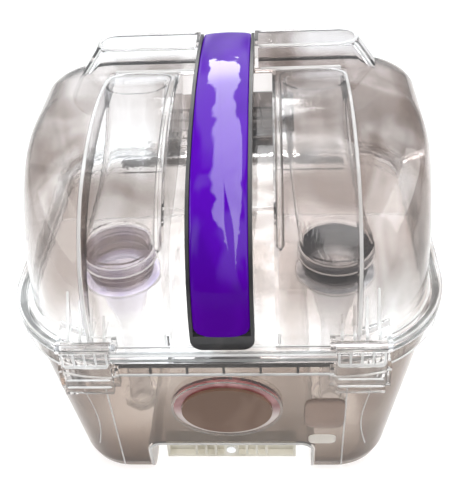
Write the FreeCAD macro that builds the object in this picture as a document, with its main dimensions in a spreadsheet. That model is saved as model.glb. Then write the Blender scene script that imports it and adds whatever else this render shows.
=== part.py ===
import FreeCAD, Part
import math
import os
import re

import Sketcher

# Removable dirty-water tank of a carpet washer: a tapered clear tub on two long feet,
# a domed clear lid hinged along the back rim, an arched carrying handle over the lid,
# two bell-mouthed risers, a float valve and two swinging catches at the front corners.
#
# Row frame: millimetres, +X to the right, +Y to the back, +Z up. The origin is on the
# floor, under the middle of the outer box.

SIZES = {
    # Tub
    "wall": 2.6,
    "rim_half": 146.0,
    "rim_front": 127.0,
    "rim_back": 127.0,
    "rim_front_corner": 77.0,
    "rim_back_corner": 46.0,
    "rim_tall": 11.0,
    "rim_skirt": 2.5,
    "rim_lip": 2.0,
    "rim_deck": 3.6,
    "rim_step": 9.0,
    "rim_front_step": 3.0,
    "foot_half": 110.0,
    "foot_front": 110.0,
    "foot_back": 112.0,
    "foot_front_corner": 36.0,
    "foot_back_corner": 34.0,
    "foot_round": 14.0,
    "tunnel_half": 57.0,
    "tunnel_top": 37.0,
    "tunnel_round": 8.0,
    "cell_row_half": 70.0,
    "cell_tall": 6.0,
    "cell_drop": 3.6,
    "cell_rib": 1.6,
    # Lid
    "lid_wall": 2.5,
    "flange_thick": 5.7,
    "seal_room": 2.3,
    "lid_deck": 137.0,
    "dome_side_step": 10.0,
    "dome_front_step": 12.5,
    "dome_back_step": 9.0,
    "dome_corner_step": 8.0,
    "dome_rise": 94.0,
    "hump_half": 86.0,
    "hump_drop": 4.5,
    "hump_far": 204.5,
    "plenum_along": 28.0,
    "plenum_step": 14.0,
    "plenum_rise": 18.5,
    "plenum_half": 96.0,
    "plenum_slant": 16.0,
    "well_half": 33.0,
    "well_wall": 4.0,
    "well_deep_front": 39.0,
    "well_deep_back": 31.0,
    "well_foot_step": 14.5,
    "well_brow": 44.0,
    "well_turn": 33.0,
    "well_front_round": 46.0,
    "well_back_round": 72.0,
    "bead": 2.0,
    "bead_inset": 5.0,
    "seal_inset": 2.0,
    "seal_width": 4.5,
    # Separator plate and risers
    "plate_thick": 2.0,
    "plate_side_step": 7.5,
    "plate_front_step": 8.5,
    "plate_back": 30.0,
    "riser_across": 75.0,
    "riser_along": 38.0,
    "riser_tube": 9.0,
    "riser_wall": 1.8,
    "riser_flare": 44.0,
    "riser_throat": 20.5,
    "riser_mouth": 25.0,
    "riser_rise": 26.0,
    "riser_collar": 27.0,
    "riser_step": 1.5,
    "socket_low": 4.0,
    "socket_high": 10.0,
    "socket_outer": 13.5,
    "socket_seal": 11.0,
    # Handle
    "arch_rise": 13.0,
    "arch_step": 5.0,
    "arch_near": 91.0,
    "arch_far": 318.0,
    "arch_lean": 20.0,
    "handle_end_step": 3.0,
    "handle_half": 20.1,
    "cover_half": 17.6,
    "cover_thick": 5.0,
    "rail_drop": 1.0,
    "frame_thick": 7.0,
    "grip_thick": 3.0,
    "cover_rise": 12.0,
    "cover_round": 14.0,
    "frame_round": 8.0,
    "pocket_deep": 15.5,
    "rear_foot_along": 18.0,
    "rear_foot_tall": 10.0,
    "screw_shank": 1.5,
    "screw_head": 3.4,
    "screw_along": 10.5,
    # Hinge
    "hinge_across": 60.0,
    "hinge_reach": 5.5,
    "hinge_rise": 2.2,
    "hinge_pin": 2.0,
    "hinge_eye": 4.5,
    "knuckle_half": 9.7,
    "ear_thick": 6.0,
    # Catches
    "catch_side_step": 45.0,
    "catch_wide": 31.0,
    "catch_step": 3.0,
    "catch_rise": 5.5,
    "catch_pin": 1.6,
    "catch_eye": 3.6,
    "catch_tall": 29.0,
    "catch_plate": 2.4,
    "ledge_reach": 1.4,
    "ledge_tall": 17.0,
    "shelf_rise": 9.0,
    "shelf_step": 8.0,
    "shelf_along": 23.0,
    "shelf_ear": 3.5,
    "fin_thick": 1.5,
    "fin_step_in": 0.5,
    "fin_along": 34.5,
    "fin_tip_step": 8.0,
    "fin_lean": 3.8,
    "fin_rise": 12.0,
    "fin_step": 3.5,
    # Badge and ribbed strip
    "badge_drop": 33.0,
    "badge_wide": 37.0,
    "badge_tall": 31.0,
    "badge_lip": 1.5,
    "badge_base": 1.3,
    "badge_deep": 4.0,
    "badge_face_wide": 30.0,
    "badge_face_tall": 24.0,
    "strip_half": 46.0,
    "strip_front": 110.5,
    "strip_deep": 9.0,
    "strip_low": 19.0,
    "strip_rib": 1.8,
    "strip_pocket": 5.0,
    "strip_boss": 5.0,
    "strip_pitch": 7.0,
    # Ducts
    "duct_gap": 4.2,
    "duct_rise": 62.0,
    "duct_across": 62.0,
    "duct_along": 46.0,
    "duct_half": 22.0,
    "duct_deep": 20.0,
    "duct_flat": 2.0,
    "duct_window": 24.0,
    # Float valve
    "cage_half": 45.0,
    "cage_along": 26.0,
    "cage_drop": 63.0,
    "cage_tall": 22.0,
    "cage_wall": 2.4,
    "cage_bar": 1.4,
    "cage_hook": 4.8,
    "float_half": 34.0,
    "float_deep": 9.0,
    "float_step": 10.0,
    "float_drop": 22.0,
    "float_tall": 14.0,
    "float_stem": 3.0,
    "port_half": 30.0,
    "port_edge": 4.0,
    "gasket_lap": 2.4,
    "gasket_deep": 6.5,
    # Clearances
    "gap": 0.3,
    "running": 0.06,
}

# Sizes that follow from the others: what lines up with or stands on a piece moves with it.
FOLLOWS = {
    # Rim of the tub
    "lid_low": "lid_deck - flange_thick",
    "rim_top": "lid_low - seal_room",
    "rim_low": "rim_top - rim_tall",
    "cell_high": "rim_top - cell_drop",
    "cell_low": "cell_high - cell_tall",
    "ledge_front": "rim_front + ledge_reach",
    "ledge_low": "rim_top - ledge_tall",
    "badge_z": "rim_low - badge_drop",
    # Lid
    "dome_half": "rim_half - dome_side_step",
    "dome_front": "rim_front - dome_front_step",
    "dome_back": "rim_back - dome_back_step",
    "dome_front_corner": "rim_front_corner - dome_corner_step",
    "dome_back_corner": "rim_back_corner - dome_corner_step / 2",
    "dome_top": "lid_deck + dome_rise",
    "plenum_back": "dome_back - plenum_step",
    "plenum_front": "plenum_back - plenum_along",
    "plenum_top": "dome_top + plenum_rise",
    "well_back": "plenum_front - well_wall",
    "well_floor_front": "dome_top - well_deep_front",
    "well_floor_back": "dome_top - well_deep_back",
    "well_foot": "dome_front - well_foot_step",
    # Separator plate, risers and ducts
    "plate_half": "rim_half - plate_side_step",
    "plate_front": "rim_front - plate_front_step",
    "riser_neck": "rim_top - riser_flare",
    "riser_high": "rim_top + riser_rise",
    "duct_bend": "rim_top + duct_rise",
    # Handle
    "arch_y": "rim_front - arch_step - arch_near",
    "arch_z": "lid_deck + arch_rise",
    "cover_low": "lid_deck + cover_rise",
    "handle_back": "plenum_back - handle_end_step",
    "rear_floor": "plenum_top - pocket_deep",
    "rear_foot_back": "handle_back - handle_end_step",
    "rear_foot_front": "rear_foot_back - rear_foot_along",
    # Hinge, catches and their shelves
    "hinge_y": "rim_back + hinge_reach",
    "hinge_z": "lid_low + hinge_rise",
    "catch_out": "rim_half - catch_side_step",
    "catch_in": "catch_out - catch_wide",
    "catch_y": "rim_front - catch_step",
    "catch_z": "lid_deck + catch_rise",
    "catch_low": "catch_z - catch_tall",
    "shelf_top": "lid_deck + shelf_rise",
    "shelf_front": "rim_front - shelf_step",
    "shelf_back": "shelf_front - shelf_along",
    "fin_front": "shelf_front - fin_step_in",
    "fin_back": "fin_front - fin_along",
    "fin_tip": "fin_front - fin_tip_step",
    # Float valve
    "cage_front": "dome_back - cage_along",
    "cage_low": "dome_top - cage_drop",
    "cage_high": "cage_low + cage_tall",
    "float_y": "cage_front + float_step",
    "float_low": "cage_low - float_drop",
    "port_low": "cage_low + port_edge",
    "port_high": "cage_high - port_edge",
}

DOC = FreeCAD.newDocument("recovery_tank")
PARTS = {}


def bound(text):
    """An expression over the sheet: what follows is written out, and a size gains the sheet's name."""

    def sheet_name(match):
        name = match[0]
        if name in FOLLOWS:
            return "(%s)" % bound(FOLLOWS[name])
        return "Sizes." + name if name in SIZES else name

    return re.sub(r"[a-z][a-z_]*", sheet_name, text)


def fill_sheet():
    """Every driving dimension, one to a row, with its name as the alias."""
    sheet = DOC.addObject("Spreadsheet::Sheet", "Sizes")
    for row, (name, size) in enumerate(SIZES.items(), start=1):
        sheet.set("A%d" % row, name)
        sheet.set("B%d" % row, str(size))
        sheet.setAlias("B%d" % row, name)
    DOC.recompute()
    return sheet


SHEET = fill_sheet()


def number(text):
    """The present value of an expression, as a plain number."""
    result = SHEET.evalExpression(bound(str(text)))
    return float(getattr(result, "Value", result))


def drive(item, prop, text):
    item.setExpression(prop, bound(str(text)))


def put_at(item, x, y, z, axis="Z"):
    """Binds an item's place; its own Z axis is turned to lie along the axis named."""
    turns = {
        "X": FreeCAD.Rotation(FreeCAD.Vector(0, 1, 0), 90),
        "Y": FreeCAD.Rotation(FreeCAD.Vector(1, 0, 0), -90),
        "Z": FreeCAD.Rotation(),
    }
    item.Placement = FreeCAD.Placement(FreeCAD.Vector(number(x), number(y), number(z)), turns[axis])
    drive(item, "Placement.Base.x", x)
    drive(item, "Placement.Base.y", y)
    drive(item, "Placement.Base.z", z)


def block(name, x, y, z):
    """A box between the low and high expressions of each axis."""
    item = DOC.addObject("Part::Box", name)
    drive(item, "Length", "(%s) - (%s)" % (x[1], x[0]))
    drive(item, "Width", "(%s) - (%s)" % (y[1], y[0]))
    drive(item, "Height", "(%s) - (%s)" % (z[1], z[0]))
    put_at(item, x[0], y[0], z[0])
    return item


def rod(name, radius, axis, span, centre):
    """A cylinder along an axis, over a span, centred on the other two coordinates."""
    item = DOC.addObject("Part::Cylinder", name)
    drive(item, "Radius", radius)
    drive(item, "Height", "(%s) - (%s)" % (span[1], span[0]))
    corner = {
        "X": (span[0], centre[0], centre[1]),
        "Y": (centre[0], span[0], centre[1]),
        "Z": (centre[0], centre[1], span[0]),
    }[axis]
    put_at(item, *corner, axis=axis)
    return item


def cut(name, base, tool):
    item = DOC.addObject("Part::Cut", name)
    item.Base = base
    item.Tool = tool
    return item


def fuse(name, items):
    item = DOC.addObject("Part::MultiFuse", name)
    item.Shapes = items
    item.Refine = True
    return item


def common(name, first, second):
    item = DOC.addObject("Part::Common", name)
    item.Base = first
    item.Tool = second
    return item


def mirrored(name, source):
    """The source reflected to the other side of the plane x = 0."""
    item = DOC.addObject("Part::Mirroring", name)
    item.Source = source
    item.Normal = FreeCAD.Vector(1, 0, 0)
    return item


def keep(label, item):
    """Names a finished sub-part and marks it for export."""
    item.Label = label
    PARTS[label] = item
    return item


def new_sketch(body, name, plane, lift):
    """A sketch on one of the body's origin planes, lifted along that plane's normal."""
    origin = next(f for f in body.Origin.OriginFeatures if f.Role == plane)
    sketch = body.newObject("Sketcher::SketchObject", name)
    sketch.AttachmentSupport = [(origin, "")]
    sketch.MapMode = "FlatFace"
    drive(sketch, "AttachmentOffset.Base.z", lift)
    return sketch


def hold(sketch, kind, *args):
    """Adds a dimension whose value is an expression."""
    index = sketch.addConstraint(Sketcher.Constraint(kind, *args[:-1], number(args[-1])))
    drive(sketch, "Constraints[%d]" % index, args[-1])


def tie(sketch, kind, *args):
    sketch.addConstraint(Sketcher.Constraint(kind, *args))


def draw_outline(sketch, half, front, back, front_round, back_round):
    """A box outline, even about the middle, with its own corner radius at each end."""
    w, f, b = number(half), number(front), number(back)
    p, q = number(front_round), number(back_round)
    spot = FreeCAD.Vector
    up = FreeCAD.Vector(0, 0, 1)
    quarter = math.pi / 2

    def corner(x, y, radius, start):
        return Part.ArcOfCircle(Part.Circle(spot(x, y, 0), up, radius), start, start + quarter)

    first = sketch.GeometryCount
    sketch.addGeometry(Part.LineSegment(spot(p - w, -f, 0), spot(w - p, -f, 0)))
    sketch.addGeometry(corner(w - p, p - f, p, -quarter))
    sketch.addGeometry(Part.LineSegment(spot(w, p - f, 0), spot(w, b - q, 0)))
    sketch.addGeometry(corner(w - q, b - q, q, 0.0))
    sketch.addGeometry(Part.LineSegment(spot(w - q, b, 0), spot(q - w, b, 0)))
    sketch.addGeometry(corner(q - w, b - q, q, quarter))
    sketch.addGeometry(Part.LineSegment(spot(-w, b - q, 0), spot(-w, p - f, 0)))
    sketch.addGeometry(corner(p - w, p - f, p, 2 * quarter))
    for step in range(8):
        tie(sketch, "Tangent", first + step, 2, first + (step + 1) % 8, 1)
    tie(sketch, "Symmetric", first, 1, first, 2, -2)
    tie(sketch, "Horizontal", first + 4)
    tie(sketch, "Vertical", first + 2)
    tie(sketch, "Vertical", first + 6)
    tie(sketch, "Equal", first + 1, first + 7)
    tie(sketch, "Equal", first + 3, first + 5)
    hold(sketch, "Radius", first + 1, front_round)
    hold(sketch, "Radius", first + 3, back_round)
    hold(sketch, "DistanceX", -1, 1, first + 2, 1, half)
    hold(sketch, "DistanceY", first, 1, -1, 1, front)
    hold(sketch, "DistanceY", -1, 1, first + 4, 1, back)


def arc_between(start, end, radius, turn):
    """The shorter arc from start to end; turn is 1 for counter-clockwise, -1 for clockwise."""
    chord = end - start
    middle = (start + end) * 0.5
    side = FreeCAD.Vector(-chord.y, chord.x, 0).normalize()
    height = math.sqrt(radius * radius - chord.Length ** 2 / 4)
    centre = middle + side * (height * turn)
    ends = (start, end) if turn > 0 else (end, start)
    angles = [math.atan2(p.y - centre.y, p.x - centre.x) for p in ends]
    circle = Part.Circle(centre, FreeCAD.Vector(0, 0, 1), radius)
    return Part.ArcOfCircle(circle, angles[0], angles[1])


def draw_path(sketch, steps):
    """A closed outline through corners; a step (x, y, radius, turn) starts an arc there."""
    spots = [FreeCAD.Vector(number(s[0]), number(s[1]), 0) for s in steps]
    first = sketch.GeometryCount
    starts, ends = [], []
    for index, step in enumerate(steps):
        here, there = spots[index], spots[(index + 1) % len(steps)]
        forward = len(step) == 2 or step[3] > 0
        if len(step) == 2:
            sketch.addGeometry(Part.LineSegment(here, there))
        else:
            sketch.addGeometry(arc_between(here, there, number(step[2]), step[3]))
        starts.append(1 if forward else 2)
        ends.append(2 if forward else 1)
    for index, step in enumerate(steps):
        after = (index + 1) % len(steps)
        tie(sketch, "Coincident", first + index, ends[index], first + after, starts[after])
        hold(sketch, "DistanceX", -1, 1, first + index, starts[index], step[0])
        hold(sketch, "DistanceY", -1, 1, first + index, starts[index], step[1])
        if len(step) == 4:
            hold(sketch, "Radius", first + index, step[2])


def pad(body, sketch, length):
    item = body.newObject("PartDesign::Pad", body.Name + "_pad")
    item.Profile = sketch
    drive(item, "Length", length)
    return item


def slab(name, z, *outlines):
    """A plate between two heights; a second outline is a hole through it."""
    body = DOC.addObject("PartDesign::Body", name)
    sketch = new_sketch(body, name + "_outline", "XY_Plane", z[0])
    for outline in outlines:
        draw_outline(sketch, *outline)
    pad(body, sketch, "(%s) - (%s)" % (z[1], z[0]))
    return body


def stack(name, levels, ruled=False):
    """A solid through outlines at rising heights, smooth or with straight sides."""
    body = DOC.addObject("PartDesign::Body", name)
    sketches = []
    for index, (z, *outline) in enumerate(levels):
        sketch = new_sketch(body, "%s_level_%d" % (name, index), "XY_Plane", z)
        draw_outline(sketch, *outline)
        sketches.append(sketch)
    loft = body.newObject("PartDesign::AdditiveLoft", name + "_loft")
    loft.Profile = sketches[0]
    loft.Sections = sketches[1:]
    loft.Ruled = ruled
    return body


def side_prism(name, half, steps):
    """A side view (y, z) carried the same distance to both sides of the middle."""
    body = DOC.addObject("PartDesign::Body", name)
    sketch = new_sketch(body, name + "_side", "YZ_Plane", "-(%s)" % half)
    draw_path(sketch, steps)
    pad(body, sketch, "2 * (%s)" % half)
    return body


def front_prism(name, y, half, low, high, low_round, high_round):
    """A rounded front view (x, z) carried along Y."""
    body = DOC.addObject("PartDesign::Body", name)
    sketch = new_sketch(body, name + "_front", "XZ_Plane", "-(%s)" % y[1])
    draw_outline(sketch, half, "-(%s)" % low, high, low_round, high_round)
    pad(body, sketch, "(%s) - (%s)" % (y[1], y[0]))
    return body


def even_block(name, half, y, z):
    return block(name, ("-(%s)" % half, half), y, z)


def inset(outline, amount):
    """An outline moved inwards all round."""
    return tuple("%s - (%s)" % (size, amount) for size in outline)


RIM = ("rim_half", "rim_front", "rim_back", "rim_front_corner", "rim_back_corner")
TANK_RIM = inset(RIM, "rim_lip")
TUB_TOP = (
    "rim_half - rim_step",
    "rim_front - rim_front_step",
    "rim_back - rim_front_step",
    "rim_front_corner - rim_step",
    "rim_back_corner - rim_step",
)
TUB_FOOT = ("foot_half", "foot_front", "foot_back", "foot_front_corner", "foot_back_corner")
DOME_BASE = ("dome_half", "dome_front", "dome_back", "dome_front_corner", "dome_back_corner")
RISER_SPOT = ("riser_across", "-(riser_along)")
FLOAT_SPOT = ("0", "float_y")


def tub_level(z):
    """The tub's outer outline at a height, on the straight taper from foot to rim."""
    share = "(%s) / rim_low" % z
    return tuple("%s + (%s - (%s)) * %s" % (a, b, a, share) for a, b in zip(TUB_FOOT, TUB_TOP))


def tub_block(name, shrink, top):
    """The tub as a solid with a rounded lower edge; a shrink moves every wall inwards."""
    radius = "(foot_round - %s)" % shrink
    facets = 4
    levels = []
    for step in range(facets + 1):
        turn = math.pi / 2 * step / facets
        rise = "%s + %s * %.4f" % (shrink, radius, 1 - math.cos(turn))
        draw_in = "%s + %s * %.4f" % (shrink, radius, 1 - math.sin(turn))
        levels.append((rise, *inset(tub_level("(%s)" % rise), draw_in)))
    levels += [(z, *inset(TUB_TOP, shrink)) for z in ("rim_low", top)[: 1 + (top != "rim_low")]]
    return stack(name, levels, ruled=True)


def tunnel_space(name, grow):
    """The space between the feet, rounded above; grow is the thickness added over it."""
    return front_prism(
        name,
        ("-(rim_front)", "rim_back"),
        "tunnel_half + %s" % grow,
        "-(wall)",
        "tunnel_top + %s" % grow,
        "wall / 2",
        "tunnel_round + %s" % grow,
    )


def tub_hollow():
    """The room inside the tub, with the floor stepped over the tunnel between the feet."""
    room = tub_block("tub_room", "wall", "rim_top + wall")
    return cut("tub_inside", room, tunnel_space("tunnel_roof", "wall"))


def rim_ring():
    """The rim: a deck round the mouth with a skirt hanging from its outer edge."""
    mouth = inset(TUB_TOP, "wall")
    deck = slab("rim_deck_ring", ("rim_top - rim_deck", "rim_top"), TANK_RIM, mouth)
    skirt = slab("rim_skirt_ring", ("rim_low", "rim_top"), TANK_RIM, inset(TANK_RIM, "rim_skirt"))
    return [deck, skirt]


def rim_cells():
    """Six windows in the front of the rim's skirt, as deep as the tub's wall behind it."""
    count = 6
    pitch = "(2 * cell_row_half / %d)" % count
    cells = []
    for index in range(count):
        low = "%d * %s - cell_row_half + cell_rib / 2" % (index, pitch)
        high = "%d * %s - cell_row_half - cell_rib / 2" % (index + 1, pitch)
        y = ("-(rim_front)", "rim_front_step - rim_front")
        cells.append(block("rim_cell_%d" % index, (low, high), y, ("cell_low", "cell_high")))
    return fuse("rim_cell_row", cells)


def catch_ledge():
    """The right corner's ledge, which the catch's plate hangs in front of."""
    x = ("catch_in - shelf_ear", "catch_out + shelf_ear")
    return block("ledge_right", x, ("-(ledge_front)", "-(shelf_back) - wall"), ("ledge_low", "rim_top"))


def hinge_ears():
    """The right hinge's two ears, standing on the back of the rim."""
    inner = "hinge_across - knuckle_half - gap"
    outer = "hinge_across + knuckle_half + gap"
    back = "hinge_y + hinge_eye"
    root = ("rim_back - rim_lip - rim_skirt", back)
    post = ("hinge_y - hinge_eye", back)
    ears = []
    for side, x in (("in", (inner + " - ear_thick", inner)), ("out", (outer, outer + " + ear_thick"))):
        ears.append(block("ear_root_" + side, x, root, ("rim_low", "rim_top")))
        ears.append(block("ear_post_" + side, x, post, ("rim_top - gap", "hinge_z")))
        ears.append(rod("ear_eye_" + side, "hinge_eye", "X", x, ("hinge_y", "hinge_z")))
    return fuse("hinge_ears_right", ears)


def riser_socket():
    """The right foot's boss, and the two steps of the bore through it."""
    boss = rod("socket_boss", "socket_outer", "Z", ("0", "socket_high"), RISER_SPOT)
    upper = rod("socket_bore", "riser_tube + running", "Z", ("0", "socket_high + wall"), RISER_SPOT)
    lower = rod("socket_seat", "socket_seal", "Z", ("-(wall)", "socket_low"), RISER_SPOT)
    return boss, fuse("socket_bores", [upper, lower])


def make_tank_body(form):
    """The clear tub on its two feet, with a boss in each foot that a riser stands in."""
    shell = cut("tub_shell", cut("tub_on_feet", form, tunnel_space("tunnel", "0")), tub_hollow())
    boss, bores = riser_socket()
    whole = fuse("tub_whole", [shell, boss, mirrored("boss_left", boss)])
    keep("tank_body", cut("tub_bored", whole, fuse("tub_cuts", [bores, mirrored("bores_left", bores)])))


def make_tank_rim(form):
    """The rim round the tub's mouth, with its windows, the catches' ledges and the hinges' ears."""
    ledge = catch_ledge()
    ears = hinge_ears()
    added = [ledge, mirrored("ledge_left", ledge), ears, mirrored("hinge_ears_left", ears)]
    around = cut("rim_round_tub", fuse("rim_whole", rim_ring() + added), form)
    far_end = "hinge_across + knuckle_half + 2 * ear_thick"
    near_end = "hinge_across - knuckle_half - 2 * ear_thick"
    pin = rod("hinge_pin_hole", "hinge_pin", "X", (near_end, far_end), ("hinge_y", "hinge_z"))
    voids = [pin, mirrored("pin_hole_left", pin), rim_cells()]
    keep("tank_rim", cut("rim_drilled", around, fuse("rim_cuts", voids)))


def make_separator_plate():
    """The clear plate over the front of the tub's mouth, with a hole round each riser."""
    corners = ("rim_front_corner - rim_step", "socket_outer")
    outline = ("plate_half", "plate_front", "plate_back", *corners)
    plate = slab("separator", ("rim_top", "rim_top + plate_thick"), outline)
    hole = rod("riser_hole", "riser_throat + gap", "Z", ("rim_low", "lid_deck"), RISER_SPOT)
    holes = fuse("riser_holes", [hole, mirrored("hole_left", hole)])
    keep("separator_plate", cut("plate_drilled", plate, holes))


def make_risers():
    """Each riser: a tube up from the foot that opens into a stepped bell mouth."""
    body = DOC.addObject("PartDesign::Body", "riser")
    sketch = new_sketch(body, "riser_side", "XZ_Plane", "0")
    collar = "rim_top + plate_thick"
    throat, mouth = "riser_throat", "riser_mouth"
    outer = [("riser_tube", "socket_low"), ("riser_tube", "riser_neck"), (throat, collar)]
    outer += [("riser_collar", collar), ("riser_collar", collar + " + riser_wall")]
    steps = 4
    rise = "((riser_high - (%s) - riser_wall) / %d)" % (collar, steps)
    widen = "((%s - %s) / %d)" % (mouth, throat, steps)
    for index in range(steps):
        radius = "%s + riser_wall / 2 + %d * %s" % (throat, index, widen)
        z = "%s + riser_wall + %d * %s" % (collar, index, rise)
        outer.append((radius, z))
        outer.append((radius, z + " + %s - riser_step" % rise))
        outer.append((radius + " + riser_step", z + " + %s - riser_step" % rise))
        outer.append((radius + " + riser_step", z + " + %s" % rise))
    inner = [(mouth + " - riser_wall", "riser_high")]
    inner += [(throat + " - riser_wall", collar), ("riser_tube - riser_wall", "riser_neck")]
    inner += [("riser_tube - riser_wall", "socket_low")]
    draw_path(sketch, outer + inner)
    turn = body.newObject("PartDesign::Revolution", "riser_turned")
    turn.Profile = sketch
    turn.ReferenceAxis = (sketch, ["V_Axis"])
    turn.Angle = 360
    drive(body, "Placement.Base.x", "riser_across")
    drive(body, "Placement.Base.y", "-(riser_along)")
    keep("riser_right", body)
    keep("riser_left", mirrored("riser_reflected", body))


def make_riser_seals():
    """A rubber ring in the counterbore under each riser."""
    ring = rod("seal_disc", "socket_seal", "Z", ("2 * gap", "socket_low"), RISER_SPOT)
    hole = rod("seal_hole", "riser_tube - riser_wall", "Z", ("-(gap)", "socket_high"), RISER_SPOT)
    keep("riser_seal_right", cut("riser_seal", ring, hole))
    keep("riser_seal_left", mirrored("riser_seal_reflected", PARTS["riser_seal_right"]))


def oval(name, wide, tall, low, high, shift="0"):
    """An elliptical disc that lies against the tub's sloping front."""
    edge = DOC.addObject("Part::Ellipse", name + "_edge")
    drive(edge, "MajorRadius", wide)
    drive(edge, "MinorRadius", tall)
    drive(edge, "Placement.Base.y", shift)
    drive(edge, "Placement.Base.z", low)
    disc = DOC.addObject("Part::Extrusion", name)
    disc.Base = edge
    disc.DirMode = "Custom"
    disc.Dir = FreeCAD.Vector(0, 0, 1)
    disc.Solid = True
    drive(disc, "LengthFwd", "(%s) - (%s)" % (high, low))
    return disc


def lean_on_front(item):
    """Stands a badge piece against the front wall, its own Z axis pointing out of it."""
    turn = FreeCAD.Rotation(FreeCAD.Vector(1, 0, 0), 90)
    item.Placement = FreeCAD.Placement(FreeCAD.Vector(0, 0, 0), turn)
    lean = "(rim_front - rim_front_step - foot_front) / rim_low"
    drive(item, "Placement.Rotation.Angle", "90 deg + atan(%s)" % lean)
    drive(item, "Placement.Base.y", "-(foot_front) - badge_z * %s" % lean)
    drive(item, "Placement.Base.z", "badge_z")
    return item


def make_badge():
    """The oval badge: a clear dish, a coloured ring in it and a bare raised face."""
    room_size = ("badge_wide - badge_lip", "badge_tall - badge_lip")
    dish = oval("dish", "badge_wide", "badge_tall", "0", "badge_deep")
    room = oval("dish_room", *room_size, "badge_base", "badge_deep + badge_lip")
    keep("badge_bezel", lean_on_front(cut("badge_dish", dish, room)))
    ring_size = [size + " - gap / 2" for size in room_size]
    ring = oval("ring_disc", *ring_size, "badge_base", "badge_deep - badge_base")
    hole_size = ("badge_face_wide + gap", "badge_face_tall + gap")
    hole = oval("ring_hole", *hole_size, "0", "badge_deep", "-(badge_lip)")
    keep("badge_ring", lean_on_front(cut("badge_band", ring, hole)))
    top = "badge_deep + badge_base / 2"
    face = oval("face_disc", "badge_face_wide", "badge_face_tall", "badge_base", top, "-(badge_lip)")
    keep("badge_plate", lean_on_front(face))


def strip_cells():
    """The strip's pockets to the right of the middle: three narrow ones, then a wide one."""
    narrow = 3
    edges = ["strip_boss + %d * strip_pitch" % index for index in range(narrow + 1)] + ["strip_half"]
    y = ("-(strip_front) - strip_rib", "strip_pocket - strip_front")
    z = ("strip_low + strip_rib", "tunnel_top - strip_rib")
    cells = []
    for index in range(narrow + 1):
        x = (edges[index], edges[index + 1] + " - strip_rib")
        cells.append(block("strip_cell_%d" % index, x, y, z))
    return fuse("strip_cells_right", cells)


def make_ribbed_strip():
    """The ribbed strip under the front edge, and the screw that holds it."""
    front, back = "-(strip_front)", "strip_deep - strip_front"
    bar = even_block("strip_bar", "strip_half", (front, back), ("strip_low", "tunnel_top"))
    cells = strip_cells()
    spot = ("0", "(strip_low + tunnel_top) / 2")
    shank_end = back + " - strip_rib"
    hole = rod("strip_hole", "screw_shank", "Y", (front + " - strip_rib", shank_end), spot)
    voids = fuse("strip_voids", [cells, mirrored("strip_cells_left", cells), hole])
    keep("ribbed_strip", cut("strip_cut", bar, voids))
    head = rod("strip_screw_head", "screw_head", "Y", (front + " - screw_shank", front), spot)
    shank = rod("strip_screw_shank", "screw_shank", "Y", (front, shank_end), spot)
    keep("ribbed_strip_screw", fuse("strip_screw", [head, shank]))


def make_hinge_pins():
    """One pin through each hinge, fixed in the tub's ears."""
    reach = "(knuckle_half + gap + ear_thick)"
    x = ("hinge_across - " + reach, "hinge_across + " + reach)
    pin = rod("hinge_rod", "hinge_pin", "X", x, ("hinge_y", "hinge_z"))
    keep("hinge_pin_right", pin)
    keep("hinge_pin_left", mirrored("hinge_rod_left", pin))


def dome(name, shrink):
    """The lid's rounded dome, or with a shrink the room inside it.

    Each level is a share of the height, then by what share of the height each side
    stands out from the base, then what the corner radii are multiplied by.
    """
    height = "(dome_top - lid_low)"
    levels = []
    for rise, half, front, back, front_corner, back_corner in (
        (0.0, 0.0, 0.0, 0.0, 1.0, 1.0),
        (0.19, 0.012, -0.01, 0.01, 1.06, 1.0),
        (0.39, 0.026, -0.06, 0.02, 1.18, 1.0),
        (0.64, 0.036, -0.19, 0.015, 1.32, 1.0),
        (0.81, 0.024, -0.42, -0.02, 1.28, 0.95),
        (0.93, -0.05, -0.74, -0.09, 1.1, 0.85),
        (1.0, -0.26, -1.18, -0.2, 0.65, 0.7),
    ):
        level = ["lid_low + %s * (%s - %s)" % (rise, height, shrink)]
        for size, share in (("dome_half", half), ("dome_front", front), ("dome_back", back)):
            level.append("%s + %s * %s - %s" % (size, share, height, shrink))
        for size, share in (("dome_front_corner", front_corner), ("dome_back_corner", back_corner)):
            level.append("%s * %s - %s" % (size, share, shrink))
        levels.append(level)
    return stack(name, levels)


def arch_steps(drop, foot, back, reach="arch_far"):
    """The arch's front curve from its foot to its back end, dropped inside the handle."""
    near, far = "(arch_near - (%s))" % drop, "(%s - (%s))" % (reach, drop)
    lean = "(arch_lean * 1 deg)"
    middle_y = "arch_near - %s" % reach
    centre_y = "(-(arch_y) - (%s) * sin(%s))" % (middle_y, lean)
    centre_z = "(arch_z + (%s) * cos(%s))" % (middle_y, lean)
    end_z = "%s + sqrt(%s ^ 2 - (%s - (%s)) ^ 2)" % (centre_z, far, back, centre_y)
    return [
        ("-(arch_y) - " + near, foot),
        ("-(arch_y) - " + near, "arch_z", near, -1),
        ("-(arch_y) - %s * sin(%s)" % (near, lean), "arch_z + %s * cos(%s)" % (near, lean), far, -1),
        (back, end_z),
    ]


def hump(name, shrink):
    """The raised middle of the lid, between the duct flanks, or the room inside it."""
    back = "plenum_front + %s" % shrink
    front = arch_steps("hump_drop + %s" % shrink, "lid_low", back, "hump_far")
    rest = [
        (back, "plenum_top - %s" % shrink),
        ("plenum_back - hump_drop - %s" % shrink, "plenum_top - %s" % shrink),
        ("plenum_back - %s" % shrink, "plenum_top - 2 * hump_drop - %s" % shrink),
        ("plenum_back - %s" % shrink, "lid_low"),
    ]
    return side_prism(name, "hump_half - %s" % shrink, front + rest)


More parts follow.
